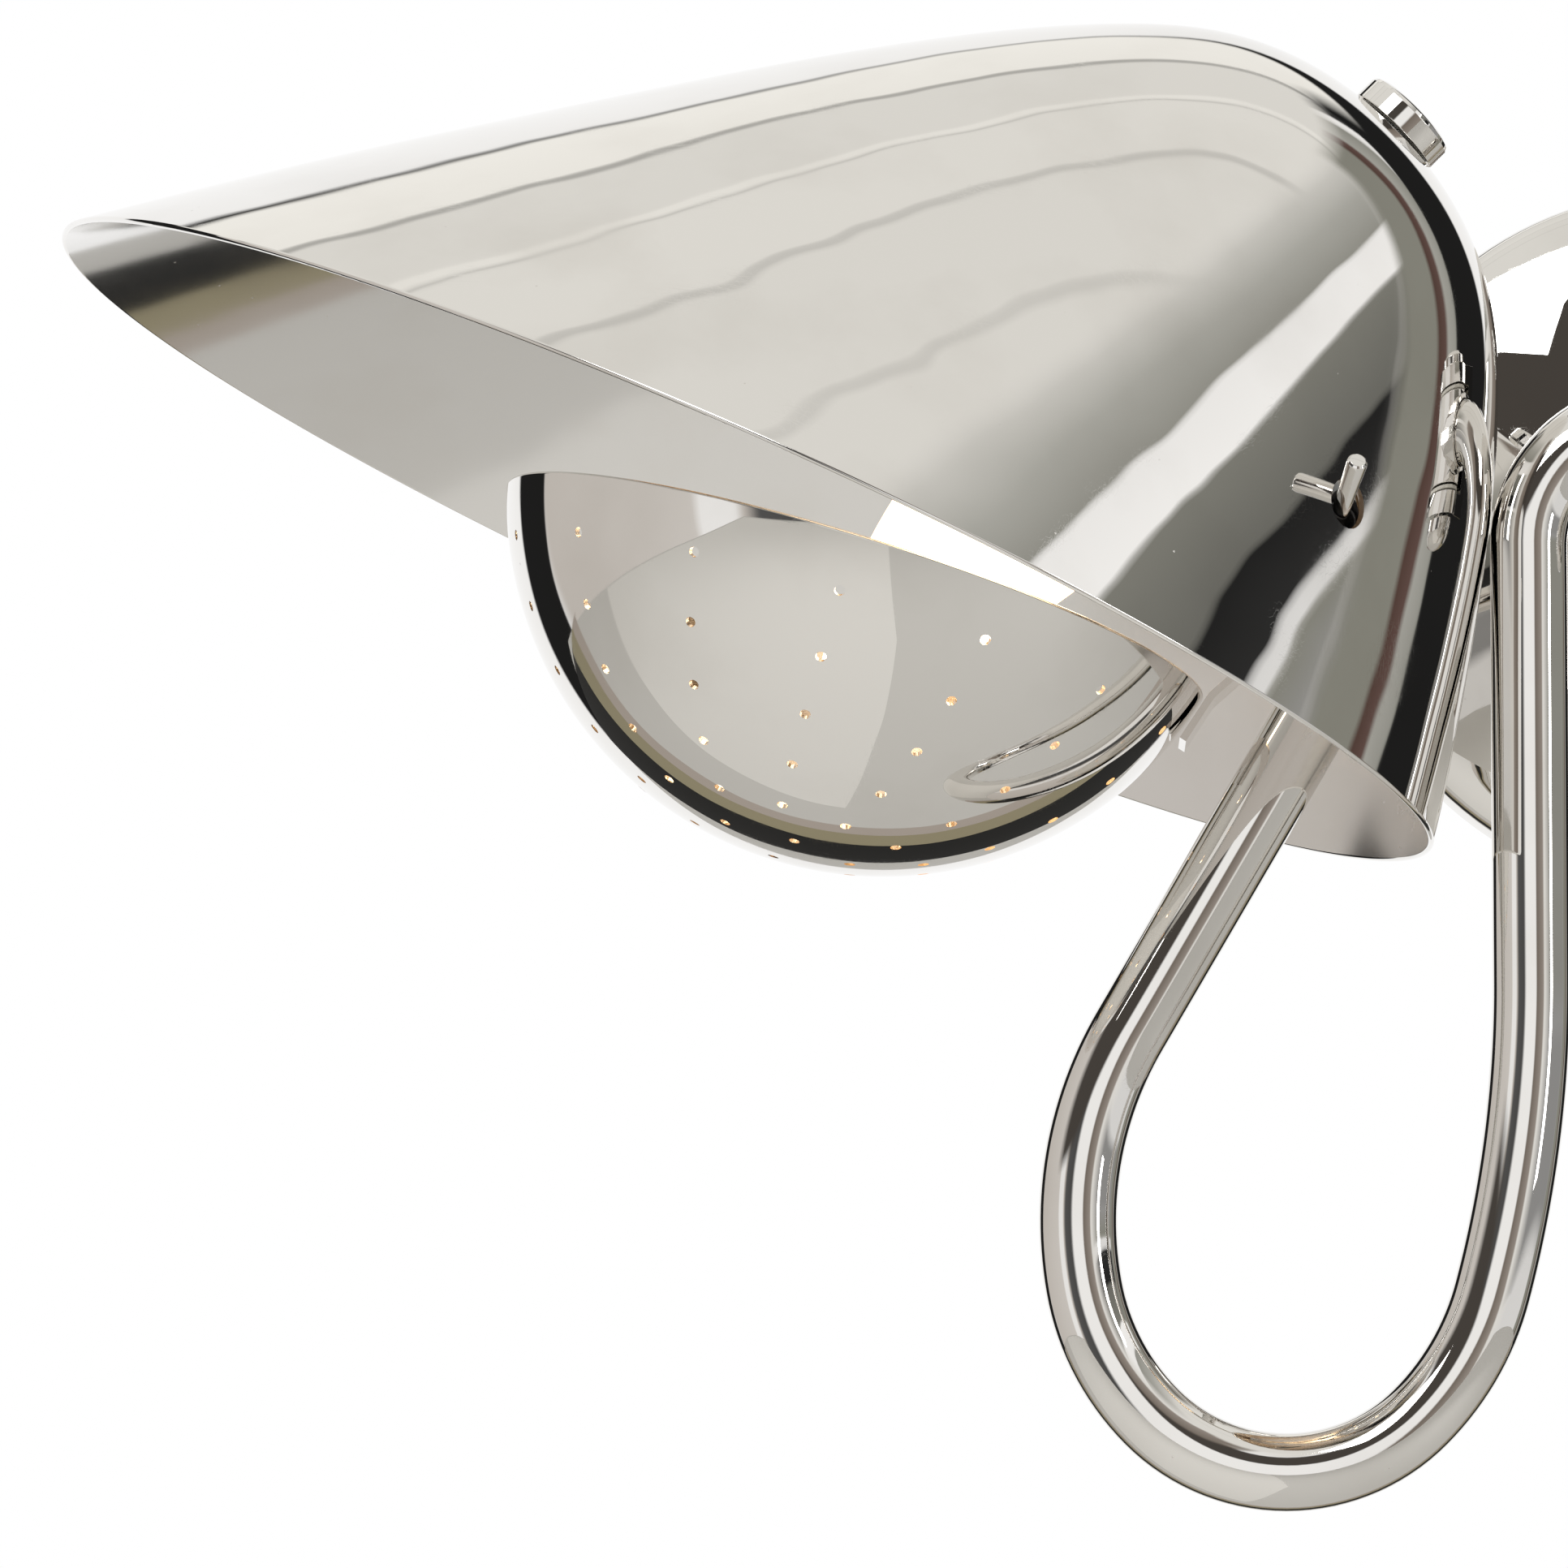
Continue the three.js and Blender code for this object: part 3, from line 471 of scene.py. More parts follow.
def softened(profile, corner, closed):
    """The section with its corners rounded, as (radius, height, normal). A bend of less than
    FAIR_BEND is taken as part of a curve and keeps one normal."""
    count = len(profile)
    points = [Vector(p) for p in profile]
    area = sum(points[i].cross(points[(i + 1) % count]) for i in range(count))
    side = 1 if area > 0 else -1
    made = []

    def out_of(a, b):
        d = (b - a).normalized()
        return Vector((d.y, -d.x)) * side

    for i in range(count):
        here = points[i]
        if not closed and i in (0, count - 1):
            flat = out_of(points[0], points[1]) if i == 0 else out_of(points[-2], points[-1])
            made.append((here.x, here.y, Vector((0, math.copysign(1, flat.y or 1)))))
            continue
        before, after = points[i - 1], points[(i + 1) % count]
        n0, n1 = out_of(before, here), out_of(here, after)
        bend = n0.angle(n1)
        if bend < FAIR_BEND:
            made.append((here.x, here.y, (n0 + n1).normalized()))
            continue
        room = 0.45 * min((here - before).length, (after - here).length)
        set_back = min(corner * math.tan(bend / 2), room)
        start = here + (before - here).normalized() * set_back
        end = here + (after - here).normalized() * set_back
        for k in range(CORNER_STEPS + 1):
            t = k / CORNER_STEPS
            p = start * (1 - t) ** 2 + here * 2 * t * (1 - t) + end * t * t
            n = (n0 * (1 - t) + n1 * t)
            made.append((p.x, p.y, (n if n.length > 0.05 else n0).normalized()))
    return made


def turned(name, profile, place, corner=0.25, segments=96):
    """A turned piece about +Z of its frame, from its section as (radius, height)."""
    closed = profile[0][0] > 0
    section = softened(profile, corner, closed)
    points, ring_of, normal_of = [], [], []
    for r, h, n in section:
        if r < 1e-6:
            ring_of.append([len(points)] * segments)
            points.append((0, 0, h))
            normal_of.append((0, 0, n.y))
            continue
        ring_of.append(list(range(len(points), len(points) + segments)))
        for k in range(segments):
            c, s = math.cos(2 * math.pi * k / segments), math.sin(2 * math.pi * k / segments)
            points.append((r * c, r * s, h))
            normal_of.append((n.x * c, n.x * s, n.y))
    faces = []
    count = len(section)
    for i in range(count if closed else count - 1):
        low, high = ring_of[i], ring_of[(i + 1) % count]
        for k in range(segments):
            m = (k + 1) % segments
            corners = [low[k], low[m], high[m], high[k]]
            faces.append([v for n, v in enumerate(corners) if v not in corners[:n]])
    probe = faces[len(faces) // 2]
    a, b, c = (Vector(points[v]) for v in probe[:3])
    if (b - a).cross(c - a).dot(Vector(normal_of[probe[0]])) < 0:
        faces = [list(reversed(f)) for f in faces]
    normals = [normal_of[v] for f in faces for v in f]
    return mesh_from(name, points, faces, normals, place)


CANOPY_FACE = [
    (60, 0.3), (60, 8), (59.7, 9.8), (59.0, 11.4), (57.8, 12.8), (56, 14), (53, 15.2), (44, 17.5),
    (30, 20), (16, 21.6), (5.3, 22), (5.3, 20.8), (16, 20.4), (30, 18.8), (44, 16.3), (52.5, 14),
    (55.4, 12.8), (57.2, 11.2), (58.3, 9.4), (58.8, 8), (58.8, 0.3),
]
STUD_Z = 33
TOWARDS_VIEWER = (0, -1, 0)
wall_frame = frame_at((0, 0, 0), TOWARDS_VIEWER, (1, 0, 0))
canopy = turned("canopy_dish", CANOPY_FACE, wall_frame, corner=0.4, segments=128)
fit("canopy_dish", canopy, [nickel], "wall_bracket", "canopy")

CAP_NUT = [
    (0, 28), (2.6, 27.4), (4.3, 25.6), (5, 23.2), (5, 20.9), (2.4, 20.9), (2.4, 24.3), (0, 24.3),
]
STUD_PITCH = 0.8
STUD_TURNS = 27
STUD_R = 2
STUD_ROOT_R = 1.72
STUD = [(0, 0.4), (1.6, 0.4), (STUD_R, 0.8)]
for turn_no in range(STUD_TURNS):
    low = 1.2 + STUD_PITCH * turn_no
    STUD += [(STUD_R, low), (STUD_ROOT_R, low + STUD_PITCH / 2)]
STUD += [(STUD_R, 23.2), (1.5, 24), (0, 24)]
for word, side in (("upper", 1), ("lower", -1)):
    at = frame_at((0, 0, side * STUD_Z), TOWARDS_VIEWER, (1, 0, 0))
    cap = turned(f"{word}_cap", CAP_NUT, at, segments=64)
    fit(f"{word}_cap", cap, [nickel], "wall_bracket", f"{word}_cap_nut")
    stud = turned(f"{word}_stud", STUD, at, corner=0.05, segments=40)
    fit(f"{word}_stud", stud, [zinc], "wall_bracket", f"{word}_canopy_stud")

# ------------------------------------------------------------------ stem and swivel
# A turned hub screws on the canopy's nipple and grips a straight tube. The tube's far end
# takes the yoke, and a pin through the yoke's ears carries the arm's barrel.
HUB = [
    (5.05, 22.3), (14, 22.3), (14, 24.5), (12.4, 26), (10.6, 27.2), (9.5, 28.6), (9, 30.4),
    (9, 38.4), (8.4, 39), (6.65, 39), (6.65, 29), (5.05, 29),
]
fit("hub", turned("hub", HUB, wall_frame), [nickel], "wall_bracket", "canopy_hub")
STEM = [(5.35, 29.3), (6.35, 29.3), (6.35, 113.7), (5.35, 113.7)]
fit("stem", turned("stem", STEM, wall_frame), [nickel_tube], "wall_bracket", "stem_tube")
swivel_frame = frame_at((0, ARM_PLANE, 0), (0, 0, 1), (1, 0, 0))
PIN = [(0, -18.4), (3, -18.4), (3, 15.3), (6.2, 15.3), (6.2, 17.4), (5, 18.4), (0, 18.8)]
pin = turned("pivot_pin", PIN, swivel_frame, 0.35)
fit("pivot_pin", pin, [nickel], "wall_bracket", "swivel_pin")
PIN_NUT = [
    (0, -21.4), (2.6, -21.1), (4.4, -20.3), (5.4, -19), (5.8, -17.4), (5.8, -15.3), (3.3, -15.3),
    (3.3, -18.7), (0, -18.7),
]
pin_nut = turned("pivot_nut", PIN_NUT, swivel_frame)
fit("pivot_nut", pin_nut, [nickel], "wall_bracket", "swivel_cap_nut")

# ------------------------------------------------------------------ arm
# Half-inch tube, bent cold in one plane: over from the swivel, down, round the loop and up
# into the hood. Its lower end is pressed into the barrel's boss.
TUBE_R = 6.35
TUBE_BORE_R = 5.35
ARM_START = -9.3
ARM_PATH = [                       # radius and turn of each bend, or a straight's length
    ("straight", 1.5), ("bend", 20.8, 90), ("straight", 71.2), ("bend", 196, -15),
    ("bend", 45.4, -30), ("bend", 30.5, -90), ("bend", 39.5, -35), ("bend", 61.8, -40.2),
    ("straight", 89),
]
STEP = 1.6


def arm_line():
    """Stations (x, z, heading in degrees) along the middle of the arm."""
    x, z, heading = ARM_START, 0.0, 180.0
    line = [(x, z, heading)]
    for kind, size, *turn in ARM_PATH:
        sweep = turn[0] if turn else 0
        length = size * math.radians(abs(sweep)) if turn else size
        steps = max(1, round(length / STEP))
        for _ in range(steps):
            middle = math.radians(heading + sweep / steps / 2)
            chord = length / steps
            if turn:
                half = math.radians(abs(sweep) / steps / 2)
                chord = 2 * size * math.sin(half)
            x += chord * math.cos(middle)
            z += chord * math.sin(middle)
            heading += sweep / steps
            line.append((x, z, heading))
    return line


def swept_tube(name, line, sections, around=56):
    """A bent tube along the stations, from its outside and its bore as (radius, way out)."""
    points, normal_of = [], []
    for radius, sign in sections:
        for x, z, heading in line:
            across = math.radians(heading + 90)
            for k in range(around):
                a = 2 * math.pi * k / around
                level = math.cos(a)
                n = Vector((level * math.cos(across), math.sin(a), level * math.sin(across)))
                points.append(Vector((x, ARM_PLANE, z)) + radius * n)
                normal_of.append(n * sign)
    count = len(line)

    def at(skin, i, k):
        return (skin * count + i) * around + k % around

    faces, normals = [], []

    def add(corners, normal=None):
        faces.append(corners)
        normals.extend([normal] * 4 if normal else [normal_of[v] for v in corners])

    for k in range(around):
        for i in range(count - 1):
            add([at(0, i, k), at(0, i, k + 1), at(0, i + 1, k + 1), at(0, i + 1, k)])
            add([at(1, i, k), at(1, i + 1, k), at(1, i + 1, k + 1), at(1, i, k + 1)])
        for i, sign in ((0, -1), (count - 1, 1)):
            h = math.radians(line[i][2])
            end = [at(0, i, k), at(1, i, k), at(1, i, k + 1), at(0, i, k + 1)]
            add(end[::-sign], Vector((math.cos(h) * sign, 0, math.sin(h) * sign)))
    first = faces[0]
    a, b, c = (Vector(points[v]) for v in first[:3])
    if (b - a).cross(c - a).dot(normal_of[first[0]]) < 0:
        faces = [f[::-1] for f in faces]
        normals = [n for i in range(0, len(normals), 4) for n in normals[i:i + 4][::-1]]
    return mesh_from(name, points, faces, normals, Matrix.Identity(4))


line = arm_line()
arm = swept_tube("bent_tube", line, [(TUBE_R, 1), (TUBE_BORE_R, -1)])
fit("bent_tube", arm, [nickel_tube], "arm", "arm_tube")

# ------------------------------------------------------------------ hood
# The hood is one spinning, a bell cut off along a slanting plane so that it makes a long
# brim. Its edge is rounded, and a drilled hole in the front lets the switch lever out.
APEX = (-53.4, ARM_PLANE, 47.6)
HOOD_AXIS = (-1, 0, -1)
ACROSS = (1, 0, -1)
HOOD_WALL = 1.0
# The wall's slope in degrees at places along it from the apex, and the ends of the rim.
HOOD_SLOPE = [
    (0, 0), (20, 17.4), (40, 44.3), (60, 49.8), (80, 54), (120, 57.5), (160, 57.5), (200, 59.7),
    (240, 60.7),
]
RIM_TIP = (-142.1, 166.2)
RIM_HEEL = (85.5, 79.2)
head_frame = frame_at(APEX, HOOD_AXIS, ACROSS)

# The slopes are eased into each other, then added up into the wall's radius and height.
FINE = 0.5
EASING = 9.0
EASING_HALF = 40
LEAD_IN = 60
HOOD_REACH = 250
pad = np.arange(-LEAD_IN, HOOD_REACH + 70, FINE)
steps_along, slopes = zip(*HOOD_SLOPE)
raw = np.sign(pad + FINE / 2) * np.interp(abs(pad), steps_along, slopes)
kernel = np.exp(-0.5 * (np.arange(-EASING_HALF, EASING_HALF + FINE, FINE) / EASING) ** 2)
smooth = np.convolve(raw, kernel / kernel.sum(), "same")
slope = np.radians(smooth[(pad >= 0) & (pad < HOOD_REACH)])
along = np.arange(len(slope)) * FINE
mid_slope = (slope[1:] + slope[:-1]) / 2
hood_r = np.concatenate([[0], np.cumsum(np.cos(mid_slope)) * FINE])
hood_h = np.concatenate([[0], np.cumsum(np.sin(mid_slope)) * FINE])


def hood_surface(s, phi):
    """A point on the hood's outside and its normal, at a way along the wall and an angle."""
    r, h, angle = (float(np.interp(s, along, v)) for v in (hood_r, hood_h, slope))
    c, d = math.cos(phi), math.sin(phi)
    out = math.sin(angle)
    return Vector((r * c, r * d, h)), Vector((out * c, out * d, -math.cos(angle)))


def rim_reach(phi):
    """How far along the wall the slanting rim lies at that angle."""
    fall = (RIM_HEEL[1] - RIM_TIP[1]) / (RIM_HEEL[0] - RIM_TIP[0])
    above = hood_h - RIM_TIP[1] - fall * (hood_r * math.cos(phi) - RIM_TIP[0])
    k = int(np.argmax(above > 0)) if (above > 0).any() else len(above) - 1
    return float(along[k - 1] + FINE * above[k - 1] / (above[k - 1] - above[k]))


def spun_sheet(name, surface, start, ends, wall, rows, holes, place):
    """Sheet metal of one thickness over a round surface, from a hole at its pole to its rim.
    A hole is (row, rows, column, columns, way along, angle, radius). Outside faces are
    material 0 and the lining is material 1."""
    columns = len(ends)
    spots = [
        (start + i / rows * (end - start), 2 * math.pi * j / columns)
        for i in range(rows + 1)
        for j, end in enumerate(ends)
    ]

    def at(i, j):
        return i * columns + j % columns

    drilled, skin, bores = set(), [], []
    for row, tall, column, wide, way, angle, radius in holes:
        i0, i1, j0, j1 = row - tall // 2, row + tall // 2, column - wide // 2, column + wide // 2
        drilled |= {(i, j % columns) for i in range(i0, i1) for j in range(j0, j1)}
        edge = [(i0, j) for j in range(j0, j1)] + [(i, j1) for i in range(i0, i1)]
        edge += [(i1, j) for j in range(j1, j0, -1)] + [(i, j0) for i in range(i1, i0, -1)]
        here = surface(way, angle)[0]
        reach = math.hypot(here.x, here.y)
        bore = []
        for i, j in edge:
            off = (2 * math.pi * j / columns - angle) * reach
            aim = math.atan2(off, spots[at(i, j)][0] - way)
            bore.append(len(spots))
            spots.append((way + radius * math.cos(aim), angle + radius * math.sin(aim) / reach))
        for k in range(len(edge)):
            m = (k + 1) % len(edge)
            skin.append([at(*edge[k]), at(*edge[m]), bore[m], bore[k]])
        bores.append((bore, here))
    for i in range(rows):
        for j in range(columns):
            if (i, j) not in drilled:
                skin.append([at(i, j), at(i, j + 1), at(i + 1, j + 1), at(i + 1, j)])
    count = len(spots)
    where = [surface(s, phi) for s, phi in spots]
    points = [p for p, _ in where] + [p - n * wall for p, n in where]
    outside = [n for _, n in where]
    faces = [list(f) for f in skin] + [[v + count for v in reversed(f)] for f in skin]
    normals = [outside[v] for f in skin for v in f]
    normals += [-outside[v] for f in skin for v in reversed(f)]
    material_of = [0] * len(skin) + [1] * len(skin)

    def add(corners, corner_normals, material=0):
        faces.append(corners)
        normals.extend(corner_normals)
        material_of.append(material)

    rounds = 6
    last = [[at(rows, j) for j in range(columns)]]
    bulge = [[outside[v] for v in last[0]]]
    for k in range(1, rounds):
        turn = math.pi * k / rounds
        last.append(list(range(len(points), len(points) + columns)))
        bulge.append([])
        for j in range(columns):
            p, n = where[at(rows, j)]
            along_wall = (p - where[at(rows - 1, j)][0]).normalized()
            out = n * math.cos(turn) + along_wall * math.sin(turn)
            points.append(p - n * (wall / 2) + out * (wall / 2))
            bulge[-1].append(out)
    last.append([at(rows, j) + count for j in range(columns)])
    bulge.append([-outside[at(rows, j)] for j in range(columns)])
    for k in range(rounds):
        for j in range(columns):
            m = (j + 1) % columns
            add([last[k][j], last[k][m], last[k + 1][m], last[k + 1][j]],
                [bulge[k][j], bulge[k][m], bulge[k + 1][m], bulge[k + 1][j]])
    for j in range(columns):
        inward = []
        for q in (j, j + 1):
            edge_point = where[at(0, q)][0]
            inward.append(-Vector((edge_point.x, edge_point.y, 0)).normalized())
        add([at(0, j + 1), at(0, j), at(0, j) + count, at(0, j + 1) + count],
            [inward[1], inward[0], inward[0], inward[1]])
    for bore, here in bores:
        for k, v in enumerate(bore):
            w = bore[(k + 1) % len(bore)]
            aims = [(here - where[q][0]).normalized() for q in (v, w)]
            add([v, w, w + count, v + count], [aims[0], aims[1], aims[1], aims[0]], 1)
    return mesh_from(name, points, faces, normals, place, material_of)


def hole_at(surface_end, start, rows, columns, way, angle, radius, tall, wide):
    """The block of the sheet's net that a hole of that radius is cut in."""
    row = round((way - start) / (surface_end - start) * rows)
    column = round(angle / (2 * math.pi) * columns)
    return row, tall, column, wide, way, angle, radius


HOOD_COLUMNS = 240
HOOD_ROWS = 110
NIPPLE_HOLE_R = 5.25
LEVER_HOLE_R = 4.1
# The lever turns about its ball behind the wall. Its hole is centred on the switch's collar,
# which points half way through the lever's throw.
LEVER_ROOT = Vector((42.6, 58.9, 56.6))
LEVER_LINE = Vector((0.1975, -0.835, 0.509)).normalized()
LEVER_INSIDE = 5.6
SWITCH_LINE = Vector((0.405, -0.828, 0.384)).normalized()
to_head = head_frame.to_3x3().transposed()
lever_pivot = LEVER_ROOT - to_head @ LEVER_LINE * LEVER_INSIDE
hole_centre = lever_pivot + to_head @ SWITCH_LINE * LEVER_INSIDE
hood_start = float(np.interp(NIPPLE_HOLE_R, hood_r, along))
hood_ends = [rim_reach(2 * math.pi * j / HOOD_COLUMNS) for j in range(HOOD_COLUMNS)]
hole_angle = math.atan2(hole_centre.y, hole_centre.x)
hole_way = float(along[np.argmin(np.hypot(
    hood_r - math.hypot(hole_centre.x, hole_centre.y), hood_h - hole_centre.z,
))])
lever_hole = hole_at(rim_reach(hole_angle), hood_start, HOOD_ROWS, HOOD_COLUMNS, hole_way,
                     hole_angle, LEVER_HOLE_R, 10, 6)
hood = spun_sheet("spun_hood", hood_surface, hood_start, hood_ends, HOOD_WALL, HOOD_ROWS,
                  [lever_hole], head_frame)
fit("spun_hood", hood, [nickel, nickel_lining_painted_glow], "arm", "hood")

# ------------------------------------------------------------------ knob
# A short turned knob of plated brass screws on the nipple outside the crown and clamps the
# hood on its bracket. A skirt under its edge hides the washer.
KNOB = [
    (0, -5.2), (4, -5.05), (7.4, -4.6), (8.1, -4.2), (8.4, -3.6), (8.4, 0), (7.5, 0),
    (7.5, -0.95), (5.05, -0.95), (5.05, -3.4), (0, -3.4),
]
knob = turned("finial_knob", KNOB, head_frame, 0.2)
fit("finial_knob", knob, [nickel], "hood_knob", "hood_knob")

# ------------------------------------------------------------------ switch lever
# The bat lever of a toggle switch stands out of the front of the hood. It is turned and
# plated, thinner at its root, and tips up and down in a threaded bush.
LEVER = [
    (0, -1.7), (1.2, -1.2), (1.7, 0), (1.4, 0.9), (1.4, 1.8), (1.7, 14.3), (1.6, 14.8),
    (1.25, 15.1), (0, 15.2),
]
lever_frame = frame_at(head_frame @ lever_pivot, LEVER_LINE, (1, 0, 0))
lever = turned("bat_lever", LEVER, lever_frame, 0.15, 48)
fit("bat_lever", lever, [nickel], "switch_lever", "switch_lever")

# ------------------------------------------------------------------ bulb and socket
# A clear candle bulb in a black candelabra socket on the hood's axis. It is lit, so the
# glass glows nearly white in the middle and warm towards its edges.
SOCKET = [
    (5.05, 10.8), (9.4, 10.8), (10.5, 12), (10.5, 39.5), (10.1, 40.2), (10.1, 42), (7.3, 42),
    (7.3, 20), (5.05, 20),
]


def object_place(tree):
    return add_node(tree, "ShaderNodeTexCoord").outputs["Object"]


def mottled(name, scale, detail, low, high):
    """A moulded or painted material that drifts between two tones. It also gives its tree,
    its shader and the place on the piece."""
    material = bpy.data.materials.new(name)
    material.use_nodes = True
    tree = material.node_tree
    shader = tree.nodes["Principled BSDF"]
    place = object_place(tree)
    cloud = noise(tree, place, scale, detail)
    tree.links.new(ramp(tree, cloud, [(0.35, low), (0.7, high)]), shader.inputs["Base Color"])
    return material, tree, shader, place


phenolic, tree, shader, place = mottled("black_phenolic", 90.0, 4.0, (0.012, 0.012, 0.012),
                                        (0.035, 0.032, 0.03))
grain = spread(tree, noise(tree, place, 400.0, 2.0), 0.3, 0.7, 0.28, 0.5)
tree.links.new(grain, shader.inputs["Roughness"])
bump = add_node(tree, "ShaderNodeBump", {
    "Strength": 0.2, "Distance": 0.0002, "Height": noise(tree, place, 1500.0, 2.0),
})
tree.links.new(bump.outputs[0], shader.inputs["Normal"])
barrel = turned("socket_barrel", SOCKET, head_frame)
fit("socket_barrel", barrel, [phenolic], "arm", "socket_body")

NECK_R = 5.2
NECK_END = 27
BULB = [
    (NECK_R, 41.8), (5.9, 43.5), (8.6, 48), (11.4, 52.2), (13.8, 57), (15.8, 63), (17, 70),
    (17.5, 76), (17.5, 82), (16.8, 89.5), (15.6, 97), (13.7, 104.6), (11.4, 112), (8.8, 118.4),
    (6.2, 124), (4.3, 127.4), (2.6, 130), (1.3, 131.2), (0, 131.6),
]
GLASS = 0.8
EASED_OVER = 12                    # fine steps to either side that a point is averaged over


def through_points(points, count):
    """Points spaced evenly on a smooth curve near the given ones."""
    data = np.array(points, float)
    reach = np.concatenate([[0], np.cumsum(np.hypot(*np.diff(data, axis=0).T))])
    fine = np.linspace(0, reach[-1], count * 8)
    both = np.stack([np.interp(fine, reach, data[:, k]) for k in (0, 1)], 1)
    window = np.hanning(2 * EASED_OVER + 1)
    window /= window.sum()
    padded = np.pad(both, ((EASED_OVER, EASED_OVER), (0, 0)), "reflect", reflect_type="odd")
    soft = np.stack([np.convolve(padded[:, k], window, "valid") for k in (0, 1)], 1)
    chosen = soft[np.linspace(0, len(soft) - 1, count).astype(int)]
    return [tuple(float(v) for v in p) for p in chosen]


lit = bpy.data.materials.new("lit_bulb_glass")
lit.use_nodes = True
tree = lit.node_tree
shader = tree.nodes["Principled BSDF"]
shader.inputs["Base Color"].default_value = (1.0, 0.93, 0.82, 1)
shader.inputs["Roughness"].default_value = 0.08
edge = add_node(tree, "ShaderNodeLayerWeight", {"Blend": 0.35})
warmth = ramp(tree, edge.outputs["Facing"], [
    (0.0, (1.0, 0.86, 0.62)), (0.5, (1.0, 0.72, 0.42)), (1.0, (1.0, 0.46, 0.16)),
])
tree.links.new(warmth, shader.inputs["Emission Color"])
shader.inputs["Emission Strength"].default_value = 7.0
swirl = noise(tree, object_place(tree), 120.0, 2.0)
bump = add_node(tree, "ShaderNodeBump", {"Strength": 0.15, "Distance": 0.0005, "Height": swirl})
tree.links.new(bump.outputs[0], shader.inputs["Normal"])
skin = through_points(BULB, 40)
skin[-1] = (0, skin[-1][1])
lining = [(max(r - GLASS, 0), h - GLASS if r < 3 else h) for r, h in reversed(skin)]
lining[0] = (0, lining[0][1])
mouth = [(NECK_R - GLASS, NECK_END), (NECK_R, NECK_END)]
envelope = turned("candle_bulb", [*lining, *mouth, *skin], head_frame, 0.2, 64)
fit("candle_bulb", envelope, [lit], "arm", "bulb_glass")

BASE_PITCH = 1.75
BASE = [(0, 22.9), (2.4, 22.9), (2.4, 24), (5.6, 25.6)]
for turn_no in range(8):
    low = 26.2 + BASE_PITCH * turn_no
    BASE += [(5.95, low), (6.0, low + 0.5), (5.62, low + 1.0), (5.58, low + 1.3)]
BASE += [(6, 40.4), (6, 41), (5.3, 41), (5.3, 26.2), (2, 24.7), (0, 24.7)]
base = turned("bulb_screw_base", BASE, head_frame, 0.1, 64)
fit("bulb_screw_base", base, [brass], "arm", "bulb_base")

glow = bpy.data.materials.new("glowing_filament")
glow.use_nodes = True
tree = glow.node_tree
shader = tree.nodes["Principled BSDF"]
heat = noise(tree, object_place(tree), 300.0)
tree.links.new(ramp(tree, heat, [(0.3, (1.0, 0.62, 0.25)), (0.7, (1.0, 0.80, 0.5))]),
               shader.inputs["Emission Color"])
shader.inputs["Emission Strength"].default_value = 30.0

# ------------------------------------------------------------------ perforated bowl
# A deep dish spun from the same sheet and pierced with small holes on rings. It hides the
# bulb from below and leaks points of light.
BOWL_R = 61.3
BOWL_WALL = 0.8
BOWL_DEPTH = 45
BOWL_CENTRE = (-15.8, 0, 101.6)
BOWL_TURN = math.radians(28)
PIERCED_R = 0.9
BOWL_RINGS = [(13, 7), (23.5, 14), (34, 14), (44.5, 14), (55, 14), (66, 14)]   # degrees, holes
BOWL_ROWS = 72
BOWL_COLUMNS = 168
bowl_frame = head_frame @ Matrix.Translation(Vector(BOWL_CENTRE))
bowl_frame = bowl_frame @ Matrix.Rotation(BOWL_TURN, 4, "Y")


def bowl_surface(way, phi):
    """A point on the bowl's outside and its normal. The net runs the same way round as the
    hood's, so the angle is turned back."""
    angle = way / BOWL_R
    out = math.sin(angle)
    n = Vector((out * math.cos(phi), -out * math.sin(phi), math.cos(angle)))
    return n * BOWL_R, n


bowl_end = BOWL_R * math.acos((BOWL_R - BOWL_DEPTH) / BOWL_R)
piercings = []
for polar, count in BOWL_RINGS:
    way = BOWL_R * math.radians(polar)
    wide = 6 if polar < 20 else 4 if polar < 40 else 2      # columns draw together at the pole
    for k in range(count):
        angle = 2 * math.pi * (k + 0.5) / count
        piercings.append(hole_at(bowl_end, PIERCED_R, BOWL_ROWS, BOWL_COLUMNS, way, angle,
                                 PIERCED_R, 4, wide))
bowl = spun_sheet("pierced_bowl", bowl_surface, PIERCED_R, [bowl_end] * BOWL_COLUMNS, BOWL_WALL,
                  BOWL_ROWS, piercings, bowl_frame)
fit("pierced_bowl", bowl, [nickel, nickel_lining_painted_glow], "arm", "perforated_bowl")

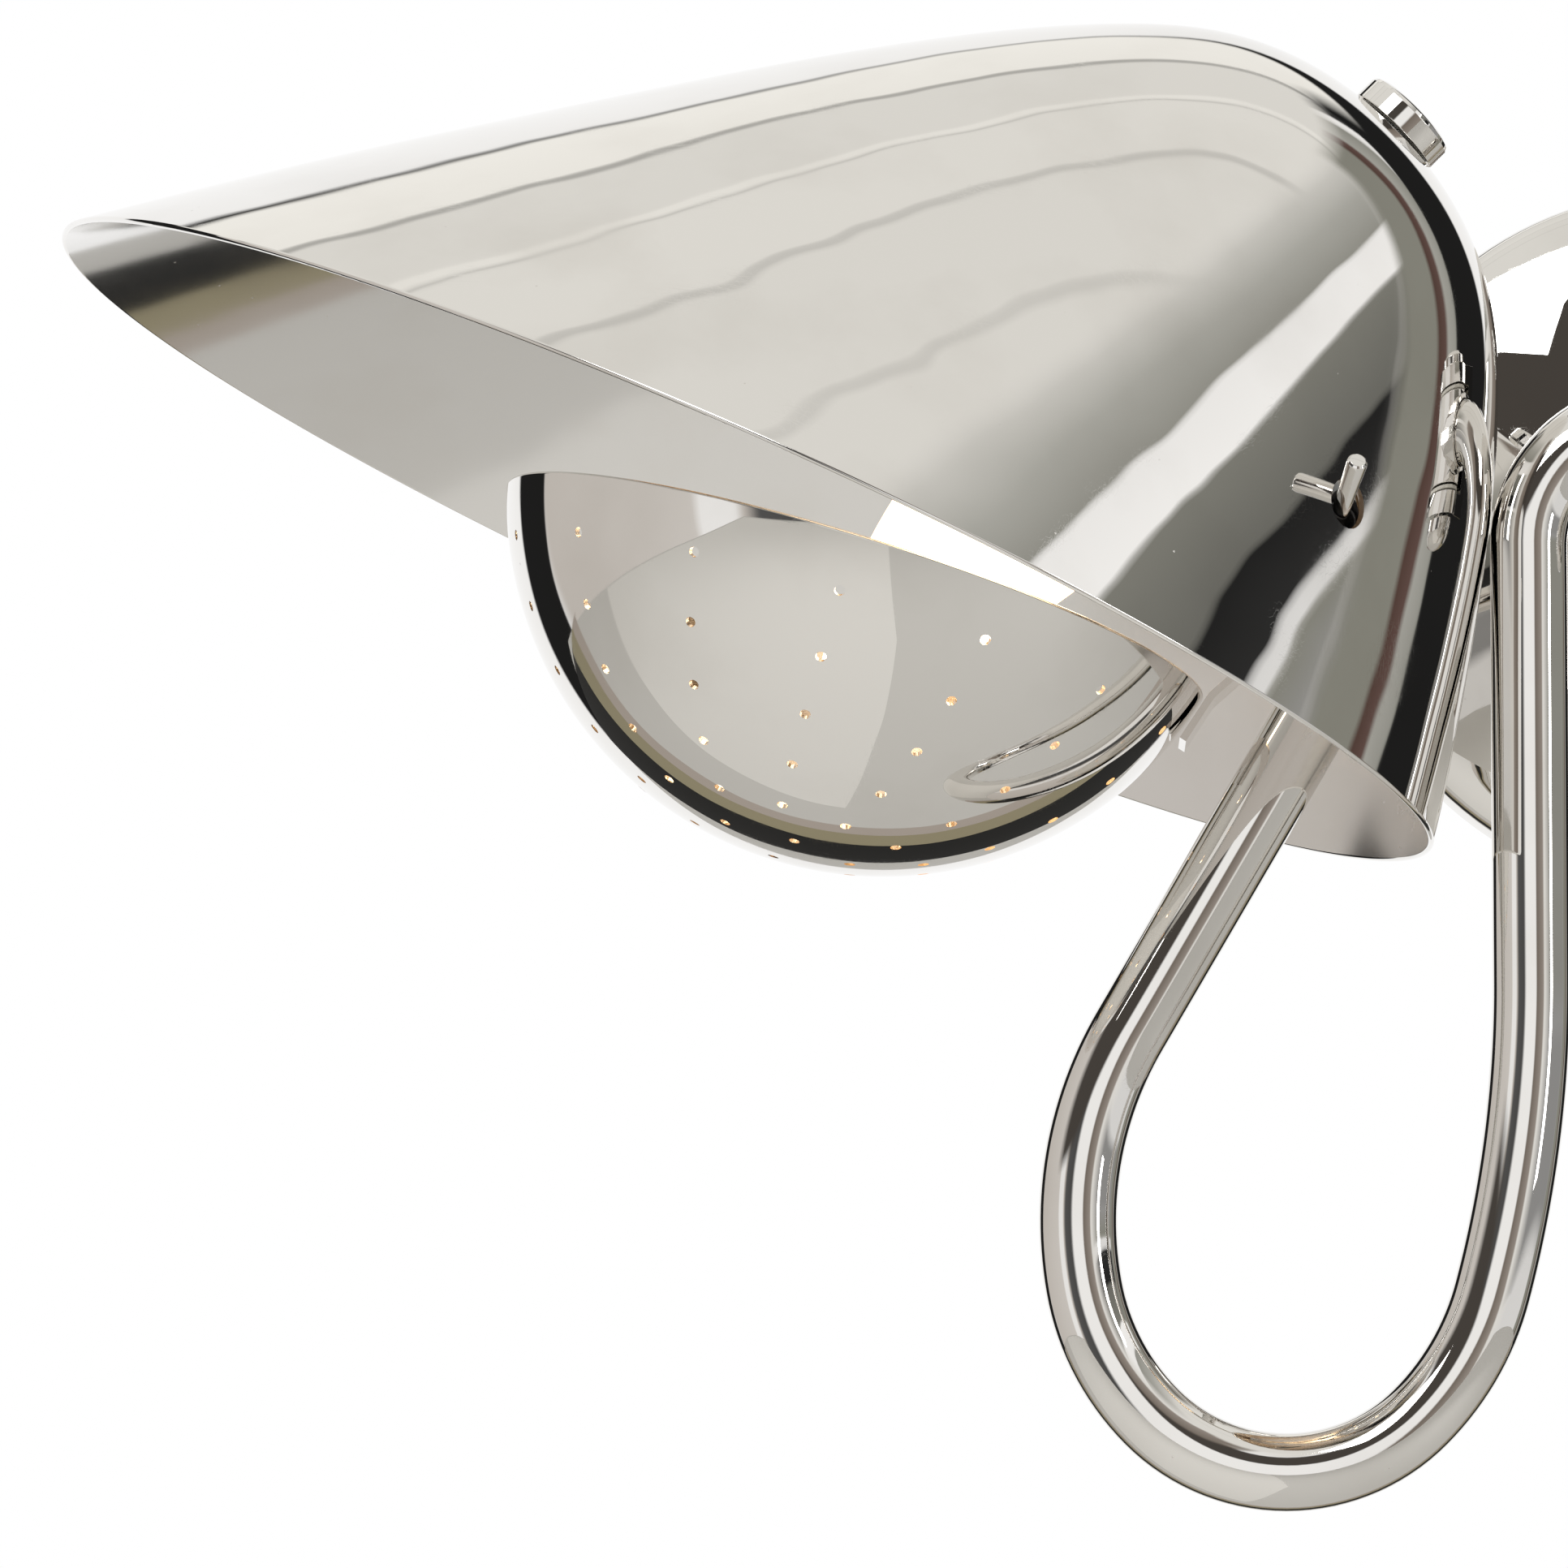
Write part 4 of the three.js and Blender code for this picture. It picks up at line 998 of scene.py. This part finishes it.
# ------------------------------------------------------------------ small fixings
# Bent straps, screws, nuts, washers and the switch keep their machined shapes. Their edges
# are broken, as tumbling or filing leaves them.
nylon, tree, shader, place = mottled("natural_nylon", 150.0, 3.0, (0.80, 0.78, 0.70),
                                     (0.90, 0.89, 0.84))
tree.links.new(spread(tree, noise(tree, place, 500.0), 0.3, 0.7, 0.38, 0.6),
               shader.inputs["Roughness"])

earth_paint, tree, shader, place = mottled("green_screw_lacquer", 600.0, 3.0, (0.02, 0.16, 0.05),
                                           (0.05, 0.30, 0.10))
shader.inputs["Metallic"].default_value = 0.6
shader.inputs["Roughness"].default_value = 0.3

clear = bpy.data.materials.new("clear_glass")
clear.use_nodes = True
tree = clear.node_tree
shader = tree.nodes["Principled BSDF"]
shader.inputs["Transmission Weight"].default_value = 1.0
shader.inputs["IOR"].default_value = 1.5
streak = spread(tree, noise(tree, object_place(tree), 200.0), 0.3, 0.7, 0.01, 0.06)
tree.links.new(streak, shader.inputs["Roughness"])

FINISHES = {
    nickel: ["swivel_yoke", "swivel_barrel", "bowl_strap"],
    zinc: ["crossbar", "upper_stud_nut", "lower_stud_nut", "hub_nipple", "hub_lock_washer",
           "hub_lock_nut", "hub_set_screw", "arm_end_bush", "arm_end_nipple", "arm_end_washer",
           "arm_end_nut", "head_bracket", "head_nipple", "hood_seat_washer", "head_lock_nut",
           "strap_screw", "strap_nut", "switch_collar"],
    brass: ["socket_contact", "socket_screw_shell"],
    phenolic: ["switch_body"],
    nylon: ["knob_washer", "upper_swivel_washer", "lower_swivel_washer"],
    earth_paint: ["ground_screw"],
    clear: ["bulb_stem"],
    glow: ["bulb_filament"],
}
BROKEN_EDGE = 0.0002
for material, names in FINISHES.items():
    for name in names:
        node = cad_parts[name]
        node.data.materials.clear()
        node.data.materials.append(material)
        weld = node.modifiers.new("weld", "WELD")
        weld.merge_threshold = 1e-6
        bevel = node.modifiers.new("broken_edge", "BEVEL")
        bevel.width = BROKEN_EDGE
        bevel.segments = 2
        bevel.limit_method = "ANGLE"
        bevel.angle_limit = math.radians(35)
        bevel.harden_normals = True
